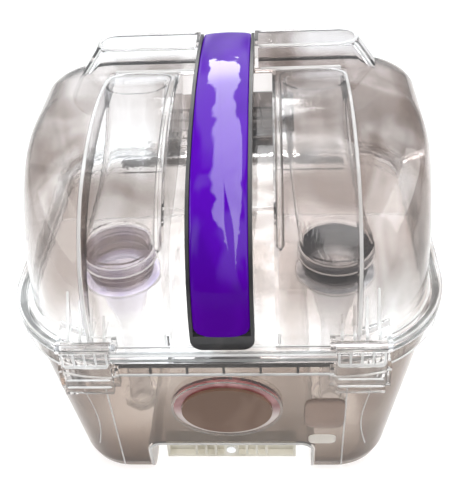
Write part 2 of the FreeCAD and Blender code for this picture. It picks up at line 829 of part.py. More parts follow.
def hand_well(name, grow):
    """The hollow under the handle: floor, steep front and curved back; grow thickens the lid."""
    ahead = "-(rim_front) - wall"
    above = "plenum_top + wall"
    steps = [
        (ahead, "lid_deck - %s" % grow),
        ("%s - well_foot" % grow, "lid_deck - %s" % grow),
        ("%s - well_foot" % grow, "arch_z", "well_front_round", -1),
        ("-(well_brow)", "well_floor_front - %s" % grow),
        ("well_turn", "well_floor_back - %s" % grow, "well_back_round", 1),
        ("well_back - %s" % grow, "rear_floor - %s" % grow),
        ("well_back - %s" % grow, above),
        (ahead, above),
    ]
    return side_prism(name, "well_half + %s" % grow, steps)


def rear_pocket(name, grow):
    """The slot in the back of the lid that takes the handle's rear end."""
    y = ("well_back - wall", "rim_back")
    z = ("rear_floor - %s" % grow, "plenum_top + wall")
    return even_block(name, "handle_half + gap + %s" % grow, y, z)


def plenum_box(name, shrink, corner):
    """The air box along the top of the lid's back, with slanted ends, or the room inside it."""
    along = ("-(plenum_front) - %s" % shrink, "plenum_back - %s" % shrink, "hump_drop", corner)
    half = "plenum_half - %s" % shrink
    low = ("dome_top - hump_drop - %s" % shrink, half + " + plenum_slant", *along)
    high = ("plenum_top - %s" % shrink, half, *along)
    return stack(name, [low, high], ruled=True)


def lid_room():
    """Everything inside the lid's walls."""
    plenum = plenum_box("plenum_room", "lid_wall", "2 * hump_drop")
    full = fuse("lid_fill", [dome("dome_room", "lid_wall"), hump("hump_room", "lid_wall"), plenum])
    wells = fuse("well_walls", [hand_well("well_skin", "lid_wall"), rear_pocket("pocket_skin", "lid_wall")])
    return cut("lid_inside", full, wells)


def shelf_fin(index, count):
    """One pointed fin that leans from the shelf against the dome; the outer ones are taller."""
    base = "shelf_top - fin_thick"
    tip = "shelf_top + fin_rise + %d * fin_step" % index
    steps = [
        ("-(fin_front)", base),
        ("-(fin_back)", base),
        ("-(fin_back)", tip),
        ("%d * fin_lean - fin_tip" % index, tip),
    ]
    fin = side_prism("shelf_fin_%d" % index, "fin_thick / 2", steps)
    drive(fin, "Placement.Base.x", "catch_in + (catch_out - catch_in) * %s" % ((index + 0.5) / count))
    return fin


def catch_shelf():
    """The right front shelf on the lid: a block with two ears for the catch's pin, and fins."""
    low, high = "catch_in - shelf_ear", "catch_out + shelf_ear"
    y = ("-(shelf_front)", "-(shelf_back)")
    pieces = [block("shelf_block", (low, high), y, ("lid_low", "shelf_top"))]
    ear_y = ("-(catch_y)", "-(shelf_front) + gap")
    ear_z = ("catch_z - catch_eye", "catch_z + catch_eye")
    for name, x in (("in", (low, "catch_in - gap")), ("out", ("catch_out + gap", high))):
        pieces.append(block("shelf_ear_" + name, x, ear_y, ear_z))
        pieces.append(rod("shelf_eye_" + name, "catch_eye", "X", x, ("-(catch_y)", "catch_z")))
    fins = 4
    pieces += [shelf_fin(index, fins) for index in range(fins)]
    return fuse("catch_shelf_right", pieces)


def lid_knuckle():
    """The right hinge's knuckle on the lid."""
    x = ("hinge_across - knuckle_half", "hinge_across + knuckle_half")
    y = ("rim_back - wall", "hinge_y")
    root = block("knuckle_root", x, y, ("lid_low", "hinge_z + hinge_eye"))
    eye = rod("knuckle_eye", "hinge_eye", "X", x, ("hinge_y", "hinge_z"))
    return fuse("lid_knuckle_right", [root, eye])


def screw_spots():
    """Where the handle's screws stand: x, y and the lid floor above each head."""
    front = "screw_along - arch_y - arch_near"
    back = "(rear_foot_front + rear_foot_back) / 2"
    across = "handle_half / 2"
    for sign, side in (("", "right"), ("-", "left")):
        yield "front_" + side, "%s(%s)" % (sign, across), front, "lid_deck"
        yield "back_" + side, "%s(%s)" % (sign, across), back, "rear_floor"


def lid_outside():
    """The lid's outer form: flange, bead, dome, raised middle, plenum, shelves and knuckles."""
    bead_edges = (inset(RIM, "bead_inset"), inset(RIM, "bead_inset + bead"))
    shelf = catch_shelf()
    knuckle = lid_knuckle()
    pieces = [
        slab("lid_flange", ("lid_low", "lid_deck"), RIM),
        slab("lid_bead", ("lid_deck", "lid_deck + bead"), *bead_edges),
        dome("dome_outside", "0"),
        hump("hump_outside", "0"),
        plenum_box("plenum", "0", "3 * hump_drop"),
        shelf,
        mirrored("catch_shelf_left", shelf),
        knuckle,
        mirrored("lid_knuckle_left", knuckle),
    ]
    return fuse("lid_outside", pieces)


def lid_holes():
    """The open mouth, the pin holes, the screw holes and the air outlet."""
    knuckle_x = ("hinge_across - 2 * knuckle_half", "hinge_across + 2 * knuckle_half")
    eye = rod("knuckle_hole", "hinge_pin + running", "X", knuckle_x, ("hinge_y", "hinge_z"))
    shelf_x = ("catch_in - 2 * shelf_ear", "catch_out + 2 * shelf_ear")
    pin = rod("catch_pin_hole", "catch_pin", "X", shelf_x, ("-(catch_y)", "catch_z"))
    holes = [eye, mirrored("knuckle_hole_left", eye), pin, mirrored("catch_pin_hole_left", pin)]
    holes.append(slab("lid_mouth", ("lid_low - wall", "lid_low + gap"), inset(DOME_BASE, "lid_wall")))
    for name, x, y, floor in screw_spots():
        z = (floor + " - 2 * lid_wall", floor + " + wall")
        holes.append(rod("lid_screw_hole_" + name, "screw_shank + gap / 2", "Z", z, (x, y)))
    port_y = ("cage_front", "rim_back + wall")
    holes.append(even_block("port_hole", "port_half", port_y, ("port_low", "port_high")))
    return fuse("lid_holes", holes)


def make_lid_shell(room):
    """The clear lid, hollow, with the hand well sunk into its middle."""
    wells = fuse("lid_wells", [hand_well("well", "0"), rear_pocket("pocket", "0")])
    shell = cut("lid_hollow", cut("lid_welled", lid_outside(), wells), room)
    keep("lid_shell", cut("lid_drilled", shell, lid_holes()))


def make_rim_seal():
    """The black gasket under the lid's flange."""
    edges = (inset(RIM, "seal_inset"), inset(RIM, "seal_inset + seal_width"))
    keep("rim_seal", slab("seal_band", ("rim_top + gap", "lid_low"), *edges))


def duct_form(name, shrink):
    """The right duct as a solid, or with a shrink its bore: it leans back and in as it rises."""
    body = DOC.addObject("PartDesign::Body", name)
    levels = (
        ("riser_high + duct_gap", "riser_across", "-(riser_along)", "riser_mouth", "riser_mouth"),
        ("duct_bend", "(riser_across + 2 * duct_across) / 3", "0", "duct_half", "duct_deep"),
        ("plenum_top", "duct_across", "duct_along", "duct_half", "duct_deep"),
    )
    sketches = []
    for index, (z, x, y, half, deep) in enumerate(levels):
        sketch = new_sketch(body, "%s_level_%d" % (name, index), "XY_Plane", z)
        corner = "%s - duct_flat" % deep
        outline = inset((half, deep, deep, corner, corner), shrink)
        draw_outline(sketch, *outline)
        drive(sketch, "AttachmentOffset.Base.x", x)
        drive(sketch, "AttachmentOffset.Base.y", y)
        sketches.append(sketch)
    loft = body.newObject("PartDesign::AdditiveLoft", name + "_loft")
    loft.Profile = sketches[0]
    loft.Sections = sketches[1:]
    return body


def make_ducts(room):
    """Each duct inside the lid: a slanting tube from over a riser up to the roof."""
    tube = cut("duct_tube", duct_form("duct_outside", "0"), duct_form("duct_bore", "riser_wall"))
    x = ("duct_across - duct_window / 2", "duct_across + duct_window / 2")
    z = ("dome_top - duct_window / 2", "plenum_top + wall")
    window = block("duct_window_cut", x, ("duct_along", "plenum_back"), z)
    keep("duct_right", common("duct_in_lid", cut("duct_open", tube, window), room))
    keep("duct_left", mirrored("duct_reflected", PARTS["duct_right"]))


def cage_slots():
    """Two rows of slots through the front of the float valve's cage."""
    count = 9
    pitch = "(2 * (cage_half - cage_wall) / %d)" % count
    tall = "((cage_high - cage_low - 3 * cage_wall) / 2)"
    y = ("cage_front - wall", "cage_front + 2 * cage_wall")
    slots = []
    for index in range(count):
        start = "cage_wall - cage_half + %d * %s" % (index, pitch)
        x = (start + " + cage_bar / 2", "%s + %s - cage_bar / 2" % (start, pitch))
        for row, low in enumerate(("cage_low + cage_wall", "cage_low + 2 * cage_wall + " + tall)):
            z = (low, "%s + %s" % (low, tall))
            slots.append(block("cage_slot_%d_%d" % (index, row), x, y, z))
    return slots


def cage_leg():
    """The right leg of the cage, with a hook that the float rests on."""
    low = "float_half + 4 * gap"
    high = low + " + cage_wall"
    y = ("float_y - cage_wall", "float_y + cage_wall")
    floor = "float_low - gap"
    leg = block("cage_leg", (low, high), y, (floor + " - cage_wall", "cage_low + gap"))
    hook = block("cage_hook_bar", ("float_half - cage_hook", high), y, (floor + " - cage_wall", floor))
    return fuse("cage_leg_right", [leg, hook])


def make_float_cage(room):
    """The slatted cage of the float valve, fixed to the lid's back wall."""
    hull_y = ("cage_front", "rim_back + wall")
    hull = even_block("cage_hull", "cage_half", hull_y, ("cage_low", "cage_high"))
    inner_y = ("cage_front + cage_wall", "rim_back + 2 * wall")
    inner_z = ("cage_low + cage_wall", "cage_high - cage_wall")
    inner = even_block("cage_inner", "cage_half - cage_wall", inner_y, inner_z)
    mouth_z = ("cage_low - wall", "cage_low + 2 * cage_wall")
    mouth = rod("cage_mouth", "float_deep - cage_wall", "Z", mouth_z, FLOAT_SPOT)
    frame = cut("cage_slotted", cut("cage_box", hull, inner), fuse("cage_voids", cage_slots() + [mouth]))
    leg = cage_leg()
    whole = fuse("cage_with_legs", [frame, leg, mirrored("cage_leg_left", leg)])
    keep("float_cage", common("cage_in_lid", whole, room))


def make_float():
    """The float: an oval block with a stem that runs in the cage's mouth, and its soft seal."""
    body = DOC.addObject("PartDesign::Body", "float_block")
    sketch = new_sketch(body, "float_outline", "XY_Plane", "float_low")
    draw_outline(sketch, "float_half", "float_deep", "float_deep", "float_deep - gap", "float_deep - gap")
    drive(sketch, "AttachmentOffset.Base.y", "float_y")
    pad(body, sketch, "float_tall")
    top = "float_low + float_tall"
    stem_z = (top + " - gap", "cage_low + 2 * cage_wall")
    stem = rod("float_rod", "float_stem", "Z", stem_z, FLOAT_SPOT)
    keep("float", fuse("float_whole", [body, stem]))
    ring = rod("float_pad", "float_deep - gap", "Z", (top, top + " + cage_wall / 2"), FLOAT_SPOT)
    bore = rod("float_pad_bore", "float_stem", "Z", (top + " - gap", "cage_low"), FLOAT_SPOT)
    keep("float_seal", cut("float_ring", ring, bore))


def make_outlet_gasket():
    """The black gasket round the air outlet, on the outside of the lid's back."""
    z = ("port_low - gasket_lap", "port_high + gasket_lap")
    rim = even_block("gasket_block", "port_half + gasket_lap", ("dome_back", "dome_back + gasket_deep"), z)
    through = ("dome_back - wall", "dome_back + gasket_deep + wall")
    hole = even_block("gasket_hole", "port_half", through, ("port_low", "port_high"))
    around = cut("gasket_frame", rim, hole)
    keep("outlet_gasket", cut("gasket_fitted", around, DOC.getObject("dome_outside")))


def handle_band(name, half, outer, inner, foot, back):
    """A strip of the arch between two drops from its outer curve."""
    foot_step, near_step, far_step, end_step = arch_steps(inner, foot, back)
    way_back = [
        (*end_step, far_step[2], 1),
        (*far_step[:2], near_step[2], 1),
        near_step[:2],
        foot_step,
    ]
    return side_prism(name, half, arch_steps(outer, foot, back) + way_back)


def front_view(name, half, low, low_round, high_round):
    """The handle's rounded outline seen from the front, carried right through."""
    high = "plenum_top + frame_thick + cover_thick"
    return front_prism(name, ("-(rim_front) - wall", "rim_back"), half, low, high, low_round, high_round)


def make_handle_frame():
    """The black frame: an arch with a raised rail along each side and a foot at each end."""
    half, end = "handle_half", "handle_back"
    under = "cover_thick + frame_thick"
    base = handle_band("frame_base", half, "cover_thick", under, "lid_deck", end)
    rails = handle_band("frame_rails", half, "rail_drop", under, "lid_deck", end)
    bed_end = "handle_back + wall"
    bed = handle_band("frame_bed", "cover_half + gap", "-(gap)", "cover_thick", "cover_low - gap", bed_end)
    foot_y = ("rear_foot_front", "rear_foot_back")
    foot = even_block("frame_foot", "cover_half", foot_y, ("rear_floor", "rear_floor + rear_foot_tall"))
    sole_y = ("-(arch_y) - arch_near + cover_thick", "-(well_foot) - gap")
    sole = even_block("frame_sole", half, sole_y, ("lid_deck", "lid_deck + cover_thick"))
    solid = fuse("frame_solid", [base, cut("frame_channel", rails, bed), foot, sole])
    view = front_view("frame_view", half, "lid_deck", "frame_round", "frame_round / 4")
    pilots = []
    for name, x, y, floor in screw_spots():
        z = (floor + " - gap", floor + " + 2 * screw_head")
        pilots.append(rod("pilot_" + name, "screw_shank", "Z", z, (x, y)))
    keep("handle_frame", cut("frame_drilled", common("frame_shaped", solid, view), fuse("pilots", pilots)))


def make_handle_trim():
    """The gloss cover let into the frame, and the soft grip under the frame."""
    band = handle_band("cover_band", "cover_half", "0", "cover_thick", "cover_low", "handle_back")
    view = front_view("cover_view", "cover_half", "cover_low", "cover_round", "gap")
    keep("handle_cover", common("cover_shaped", band, view))
    under = "cover_thick + frame_thick"
    low, end = "arch_z - 2 * wall", "well_turn"
    grip = handle_band("grip_band", "cover_half", under, under + " + grip_thick", low, end)
    keep("handle_grip", grip)


def make_handle_screws():
    """Four screws up through the lid into the frame's feet."""
    screws = []
    for name, x, y, floor in screw_spots():
        under = floor + " - lid_wall"
        head = rod("head_" + name, "screw_head", "Z", (under + " - screw_shank", under), (x, y))
        shank = rod("shank_" + name, "screw_shank", "Z", (under, floor + " + 2 * screw_head"), (x, y))
        screws.append(fuse("screw_" + name, [head, shank]))
    group = DOC.addObject("Part::Compound", "screw_group")
    group.Links = screws
    keep("handle_screws", group)


def make_catches():
    """A swinging catch at each front corner, and the pin that it hangs on."""
    x = ("catch_in", "catch_out")
    spot = ("-(catch_y)", "catch_z")
    back = "-(ledge_front) - 2 * gap"
    front = back + " - catch_plate"
    eye = rod("catch_eye_rod", "catch_eye", "X", x, spot)
    plate = block("catch_sheet", x, (front, back), ("catch_low", "catch_z"))
    arm = block("catch_arm", x, (front, "-(catch_y)"), ("catch_z - catch_plate", "catch_z + catch_plate"))
    lift_y = (front + " - catch_plate", back)
    lift = block("catch_lift", x, lift_y, ("catch_low - catch_plate", "catch_low"))
    solid = fuse("catch_solid", [eye, plate, arm, lift])
    bore = rod("catch_bore", "catch_pin + running", "X", ("catch_in - wall", "catch_out + wall"), spot)
    keep("catch_right", cut("catch_bored", solid, bore))
    keep("catch_left", mirrored("catch_reflected", PARTS["catch_right"]))
    span = ("catch_in - shelf_ear", "catch_out + shelf_ear")
    keep("catch_pin_right", rod("catch_rod", "catch_pin", "X", span, spot))
    keep("catch_pin_left", mirrored("catch_rod_left", PARTS["catch_pin_right"]))


def export():
    """Checks every object, then writes one STEP file for each sub-part."""
    DOC.recompute()
    for item in DOC.Objects:
        if "Invalid" in item.State or "Error" in item.State:
            raise RuntimeError("%s failed: %s" % (item.Name, item.State))
    os.makedirs("parts", exist_ok=True)
    for label, item in PARTS.items():
        shape = item.Shape
        if shape.isNull() or not shape.isValid() or not shape.Solids:
            raise RuntimeError("%s has no sound solid" % label)
        print("%-20s solids %d, volume %.0f" % (label, len(shape.Solids), shape.Volume))
    for label, item in PARTS.items():
        item.Shape.exportStep("parts/%s.step" % label)


TUB_FORM = tub_block("tub_outside", "0", "rim_top")
make_tank_body(TUB_FORM)
make_tank_rim(TUB_FORM)
make_separator_plate()
make_risers()
make_riser_seals()
make_badge()
make_ribbed_strip()
make_hinge_pins()
ROOM = lid_room()
make_lid_shell(ROOM)
make_rim_seal()
make_ducts(ROOM)
make_float_cage(ROOM)
make_float()
make_outlet_gasket()
make_handle_frame()
make_handle_trim()
make_handle_screws()
make_catches()
export()
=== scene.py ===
# %% [markdown]
# # The clear recovery tank of a carpet washer
#
# This lesson dresses a finished engineering model. The tank is a clear tub on two long
# feet with a clear domed lid, so nearly everything that one sees is light bent by thin
# walls. The engineering model already holds every wall, pin and seal at its real size.
# Blender adds the finishes, the small moulded beads and ribs, and the studio.
#
# The first step loads that model as a fixed frame. Its parts are never moved, and each
# new piece is told which body of the frame it rides on.

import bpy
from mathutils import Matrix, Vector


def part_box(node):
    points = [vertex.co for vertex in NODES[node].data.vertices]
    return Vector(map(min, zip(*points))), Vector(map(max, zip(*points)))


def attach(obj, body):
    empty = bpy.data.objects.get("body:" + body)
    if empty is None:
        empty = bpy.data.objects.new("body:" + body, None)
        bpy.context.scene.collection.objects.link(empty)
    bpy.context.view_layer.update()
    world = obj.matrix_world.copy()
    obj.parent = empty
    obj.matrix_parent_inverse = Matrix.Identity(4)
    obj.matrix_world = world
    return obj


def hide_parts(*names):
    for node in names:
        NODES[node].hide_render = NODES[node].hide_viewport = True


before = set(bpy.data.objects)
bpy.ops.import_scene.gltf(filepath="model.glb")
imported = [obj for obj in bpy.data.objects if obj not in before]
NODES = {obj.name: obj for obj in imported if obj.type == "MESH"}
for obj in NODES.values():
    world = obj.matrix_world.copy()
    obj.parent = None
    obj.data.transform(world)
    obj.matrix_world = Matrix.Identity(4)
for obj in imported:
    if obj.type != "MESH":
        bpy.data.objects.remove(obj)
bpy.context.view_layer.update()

import math

import bmesh
import bpy
import numpy as np
from mathutils import Matrix

SIDES = (("right", 1), ("left", -1))

# %% [markdown]
# ## The camera
#
# The tank is looked at from above its front, a little from its right and with the
# camera rolled a few degrees, as one holds a phone over something on the floor. A camera
# in Blender looks along its own -Z axis, so its three axes are worked out from an
# azimuth, an elevation and a roll, and written straight into its matrix. A constraint
# that tracks a target would do the aiming, but could not hold the roll.

# %% Aim the camera
def camera_axes(azimuth, elevation, roll):
    """Right, up and backward unit vectors: backward points from the tank to the camera."""
    a, e, r = np.radians([azimuth, elevation, roll])
    backward = np.array([math.sin(a) * math.cos(e), -math.cos(a) * math.cos(e), math.sin(e)])
    level = np.cross([0.0, 0.0, 1.0], backward)
    level /= np.linalg.norm(level)
    upright = np.cross(backward, level)
    right = math.cos(r) * level + math.sin(r) * upright
    up = math.cos(r) * upright - math.sin(r) * level
    return right, up, backward


AZIMUTH, ELEVATION, ROLL = 4.435, 37.998, -3.557
CAMERA_SPOT = (0.03499, -0.49229, 0.50730)
lens = bpy.data.cameras.new("portrait")
lens.lens = 60.14
camera = bpy.data.objects.new("portrait", lens)
bpy.context.scene.collection.objects.link(camera)
place = np.identity(4)
place[:3, :3] = np.column_stack(camera_axes(AZIMUTH, ELEVATION, ROLL))
place[:3, 3] = CAMERA_SPOT
camera.matrix_world = Matrix(place.tolist())
bpy.context.scene.camera = camera
print("camera at", CAMERA_SPOT, "with a", round(lens.lens, 2), "mm lens")

# %% [markdown]
# ## The studio
#
# Clear plastic has hardly any colour of its own. It shows what stands around it, so the
# room matters as much as the material: a white floor to look through to, a pale world,
# and a few large lamps whose reflections draw the edges. The long strip over the middle
# is there for one thing, the narrow streak of light down the gloss handle.
#
# Clear walls would still throw the full shadow of a solid one, because light that bends
# through them isn't traced back to a lamp. So the lamps cast no shadows here, and the
# shading that remains comes from the world.

# %% Build the studio
def soft_lamp(name, spot, aim, size, power, twist=0.0):
    """A rectangular lamp at a spot, turned to look at the aim point, its length towards +Y."""
    lamp = bpy.data.lights.new(name, "AREA")
    lamp.shape = "RECTANGLE"
    lamp.size, lamp.size_y = size
    lamp.energy = power
    lamp.use_shadow = False
    holder = bpy.data.objects.new(name, lamp)
    bpy.context.scene.collection.objects.link(holder)
    spot, aim = np.array(spot, float), np.array(aim, float)
    backward = (spot - aim) / np.linalg.norm(spot - aim)
    side = np.cross([math.sin(twist), math.cos(twist), 0.0], backward)
    side /= np.linalg.norm(side)
    turn = np.identity(4)
    turn[:3, :3] = np.column_stack([side, np.cross(backward, side), backward])
    turn[:3, 3] = spot
    holder.matrix_world = Matrix(turn.tolist())
    return holder


world = bpy.data.worlds.new("room")
bpy.context.scene.world = world
world.use_nodes = True
world.node_tree.nodes["Background"].inputs["Color"].default_value = (0.97, 0.98, 1.0, 1.0)
STRIP_X, STRIP_Y, STRIP_HIGH = 0.07, -0.475, 1.25
strip = soft_lamp("handle_strip", (STRIP_X, STRIP_Y, STRIP_HIGH), (STRIP_X, STRIP_Y, 0.0),
                  (0.46, 5.55), 40.0, twist=-0.08)
soft_lamp("left_panel", (-1.3, -0.2, 0.9), (0.0, 0.0, 0.15), (0.9, 1.2), 7.5)
soft_lamp("right_panel", (1.3, 0.2, 0.8), (0.0, 0.0, 0.15), (0.7, 1.0), 7.5)
bpy.context.scene.view_settings.view_transform = "Standard"

# Light crosses up to a dozen thin walls, two surfaces each, before it leaves the tank.
bpy.context.scene.cycles.max_bounces = 28
bpy.context.scene.cycles.transmission_bounces = 26
print("lamps:", sorted(lamp.name for lamp in bpy.data.lights))

# %% Lay the floor
FLOOR_END = 6.0
ground = bpy.data.meshes.new("floor")
floor_corners = [(x * FLOOR_END, y * FLOOR_END, 0) for x, y in ((-1, -1), (1, -1), (1, 1), (-1, 1))]
ground.from_pydata(floor_corners, [], [(0, 1, 2, 3)])
floor = bpy.data.objects.new("floor", ground)
bpy.context.scene.collection.objects.link(floor)
print("floor:", 2 * FLOOR_END, "m square")

# %% [markdown]
# ## Shared effects
#
# Three effects turn up in more than one finish, so each is a shader node group that is
# built once and then placed in a material with its own numbers.
#
# * moulded_wave is the faint unevenness of a moulded wall. It bends the light that
#   passes through and breaks up reflections.
# * cloud_tint drifts between two colours, as the warm and cool zones of used plastic do.
# * rub_marks are fine wipes and scratches, which make a gloss surface duller in streaks.

# %% Tools for node groups
def new_group(name, inputs, outputs):
    """An empty shader group with named sockets; returns the tree and its two end nodes."""
    tree = bpy.data.node_groups.new(name, "ShaderNodeTree")
    for label, kind, value in inputs:
        socket = tree.interface.new_socket(label, in_out="INPUT", socket_type=kind)
        if value is not None:
            socket.default_value = value
    for label, kind in outputs:
        tree.interface.new_socket(label, in_out="OUTPUT", socket_type=kind)
    return tree, tree.nodes.new("NodeGroupInput"), tree.nodes.new("NodeGroupOutput")


def noise(tree, vector, scale, detail=2.0, warp=0.0):
    """A 3-D noise node; the scale may be a number or a socket."""
    node = tree.nodes.new("ShaderNodeTexNoise")
    node.inputs["Detail"].default_value = detail
    node.inputs["Distortion"].default_value = warp
    tree.links.new(vector, node.inputs["Vector"])
    if isinstance(scale, (int, float)):
        node.inputs["Scale"].default_value = scale
    else:
        tree.links.new(scale, node.inputs["Scale"])
    return node.outputs["Fac"]


def stretch(tree, vector, scale):
    """The vector multiplied by a constant on each axis."""
    node = tree.nodes.new("ShaderNodeMapping")
    node.inputs["Scale"].default_value = scale
    tree.links.new(vector, node.inputs["Vector"])
    return node.outputs["Vector"]


def ramp(tree, value, low, high):
    """0 below low, 1 above high, and a smooth step between."""
    node = tree.nodes.new("ShaderNodeMapRange")
    node.interpolation_type = "SMOOTHSTEP"
    node.inputs["From Min"].default_value = low
    node.inputs["From Max"].default_value = high
    tree.links.new(value, node.inputs["Value"])
    return node.outputs["Result"]


def arithmetic(tree, operation, first, second):
    """A maths node on two values, each a number or a socket."""
    node = tree.nodes.new("ShaderNodeMath")
    node.operation = operation
    for socket, value in zip(node.inputs, (first, second)):
        if isinstance(value, (int, float)):
            socket.default_value = value
        else:
            tree.links.new(value, socket)
    return node.outputs["Value"]


def mix_colour(tree, share, first, second, blend="MIX"):
    """Blends two colours, each a tuple or a socket, by a share from 0 to 1."""
    node = tree.nodes.new("ShaderNodeMix")
    node.data_type = "RGBA"
    node.blend_type = blend
    tree.links.new(share, node.inputs["Factor"])
    sockets = [s for s in node.inputs if s.type == "RGBA"]
    for socket, colour in zip(sockets, (first, second)):
        if isinstance(colour, tuple):
            socket.default_value = colour
        else:
            tree.links.new(colour, socket)
    return next(s for s in node.outputs if s.type == "RGBA")


# %% Build the three groups
VECTOR, FLOAT, COLOUR = "NodeSocketVector", "NodeSocketFloat", "NodeSocketColor"

wave_tree, wave_in, wave_out = new_group(
    "moulded_wave",
    [("Vector", VECTOR, None), ("Scale", FLOAT, 20.0), ("Grain", FLOAT, 0.1)],
    [("Height", FLOAT)],
)
slow = noise(wave_tree, wave_in.outputs["Vector"], wave_in.outputs["Scale"], 1.0, 0.4)
quick_scale = arithmetic(wave_tree, "MULTIPLY", wave_in.outputs["Scale"], 22.0)
quick = noise(wave_tree, wave_in.outputs["Vector"], quick_scale, 1.0)
fine = arithmetic(wave_tree, "MULTIPLY", quick, wave_in.outputs["Grain"])
wave_tree.links.new(arithmetic(wave_tree, "ADD", slow, fine), wave_out.inputs["Height"])

tint_tree, tint_in, tint_out = new_group(
    "cloud_tint",
    [
        ("Vector", VECTOR, None),
        ("Scale", FLOAT, 10.0),
        ("Clear", COLOUR, (0.9, 0.9, 0.9, 1.0)),
        ("Shade", COLOUR, (0.7, 0.65, 0.6, 1.0)),
    ],
    [("Color", COLOUR), ("Mask", FLOAT)],
)
drift = noise(tint_tree, tint_in.outputs["Vector"], tint_in.outputs["Scale"], 2.0, 0.8)
cloud = ramp(tint_tree, drift, 0.42, 0.64)
blend = mix_colour(tint_tree, cloud, tint_in.outputs["Clear"], tint_in.outputs["Shade"])
tint_tree.links.new(blend, tint_out.inputs["Color"])
tint_tree.links.new(cloud, tint_out.inputs["Mask"])

rub_tree, rub_in, rub_out = new_group(
    "rub_marks",
    [("Vector", VECTOR, None), ("Polish", FLOAT, 0.05), ("Dull", FLOAT, 0.2)],
    [("Roughness", FLOAT), ("Mask", FLOAT)],
)
upright_wipes = stretch(rub_tree, rub_in.outputs["Vector"], (90.0, 14.0, 14.0))
level_wipes = stretch(rub_tree, rub_in.outputs["Vector"], (12.0, 12.0, 110.0))
both_wipes = arithmetic(rub_tree, "MAXIMUM", noise(rub_tree, upright_wipes, 1.0, 3.0, 0.3),
                        noise(rub_tree, level_wipes, 1.0, 3.0, 0.3))
wiped = ramp(rub_tree, both_wipes, 0.56, 0.78)
spread = arithmetic(rub_tree, "SUBTRACT", rub_in.outputs["Dull"], rub_in.outputs["Polish"])
dulled = arithmetic(rub_tree, "MULTIPLY", wiped, spread)
rubbed = arithmetic(rub_tree, "ADD", dulled, rub_in.outputs["Polish"])
rub_tree.links.new(rubbed, rub_out.inputs["Roughness"])
rub_tree.links.new(wiped, rub_out.inputs["Mask"])
print("node groups:", [tree.name for tree in bpy.data.node_groups])

# %% [markdown]
# ## Light with a pattern
#
# A real highlight on gloss plastic is the picture of a window, and trees or buildings
# break its outline. The strip lamp's own nodes do the same. Its near end tapers and is
# split by a wedge, its middle is pinched, its far end is the brightest, and noise eats
# into its two long edges.
#
# The room answers each kind of ray in its own way. Seen directly or through clear
# plastic it is white, so the moulded edges light up. As fill light it is dimmer. In
# reflections it is patchy, bright sky between dark shapes, which puts soft uneven sheens
# on the dome.

# %% Tools for the strip lamp's pattern
strip.data.use_nodes = True
lamp_tree = strip.data.node_tree
parametric = lamp_tree.nodes.new("ShaderNodeNewGeometry").outputs["Parametric"]
halves = lamp_tree.nodes.new("ShaderNodeSeparateXYZ")
lamp_tree.links.new(parametric, halves.inputs["Vector"])
sideways, length = halves.outputs["X"], halves.outputs["Y"]


def lamp_maths(operation, first, second=0.0):
    """A maths node among the lamp's nodes."""
    return arithmetic(lamp_tree, operation, first, second)


def lamp_ramp(value, low, high):
    """A smooth step among the lamp's nodes."""
    return ramp(lamp_tree, value, low, high)


def away_from(line):
    """How far across the lamp a point lies from a line along it."""
    return lamp_maths("ABSOLUTE", lamp_maths("SUBTRACT", sideways, line))


# %% Break up the strip lamp
STREAK_MIDDLE, WEDGE_LINE = 0.5, 0.38
ragged = noise(lamp_tree, stretch(lamp_tree, parametric, (1.6, 12.0, 1.0)), 1.0, 3.0, 0.3)
wander = lamp_maths("MULTIPLY", lamp_maths("SUBTRACT", ragged, 0.5), 0.75)

pinch = lamp_maths("MULTIPLY", lamp_ramp(length, 0.68, 0.73), lamp_ramp(length, 0.82, 0.78))
wide = lamp_maths("MULTIPLY", lamp_ramp(length, -0.05, 0.57), 0.40)
wide = lamp_maths("SUBTRACT", wide, lamp_maths("MULTIPLY", pinch, 0.17))
inside = lamp_maths("SUBTRACT", wide, lamp_maths("ADD", away_from(STREAK_MIDDLE), wander))

wedge = lamp_maths("MULTIPLY", lamp_ramp(length, 0.60, 0.40), 0.13)
beside = lamp_maths("SUBTRACT", away_from(WEDGE_LINE), wedge)
far_end = lamp_maths("ADD", length, lamp_maths("MULTIPLY", wander, 0.35))

streak = lamp_maths("MULTIPLY", lamp_ramp(inside, -0.03, 0.05), lamp_ramp(beside, -0.02, 0.01))
streak = lamp_maths("MULTIPLY", streak, lamp_ramp(far_end, 0.985, 0.955))
glare = lamp_maths("ADD", lamp_maths("MULTIPLY", lamp_ramp(length, 0.80, 0.88), 0.6), 0.95)
lit = lamp_maths("MULTIPLY", streak, glare)
lamp_tree.links.new(lit, lamp_tree.nodes["Emission"].inputs["Strength"])
print("the strip lamp's pattern takes", len(lamp_tree.nodes), "nodes")

# %% Give the room its strengths
room = world.node_tree
rays = room.nodes.new("ShaderNodeLightPath")
seen = arithmetic(room, "MAXIMUM",
                  rays.outputs["Is Camera Ray"], rays.outputs["Is Transmission Ray"])
sight = stretch(room, room.nodes.new("ShaderNodeTexCoord").outputs["Generated"], (1.0, 1.0, 0.5))
patches = ramp(room, noise(room, sight, 1.7, 2.0, 0.3), 0.44, 0.60)
FILL, SEEN_MORE, PATCH_DARK = 0.38, 0.66, 0.30
sheen = arithmetic(room, "SUBTRACT", patches, PATCH_DARK)
sheen = arithmetic(room, "MULTIPLY", sheen, rays.outputs["Is Glossy Ray"])
strength = arithmetic(room, "ADD", arithmetic(room, "MULTIPLY", seen, SEEN_MORE), FILL)
strength = arithmetic(room, "ADD", strength, sheen)
room.links.new(strength, room.nodes["Background"].inputs["Strength"])
print("room: fill light", FILL, "and", FILL + SEEN_MORE, "where it is seen")

# %% [markdown]
# ## Finishes
#
# Every finish starts from one Principled shader. Numbers that are the same all over the
# surface, such as the clear plastic's transmission, are typed into its sockets. What
# changes over the surface comes from the groups: a colour that drifts, a roughness with
# wipe marks, and a bump from the moulded wave.

# %% One function for every finish
finished = []


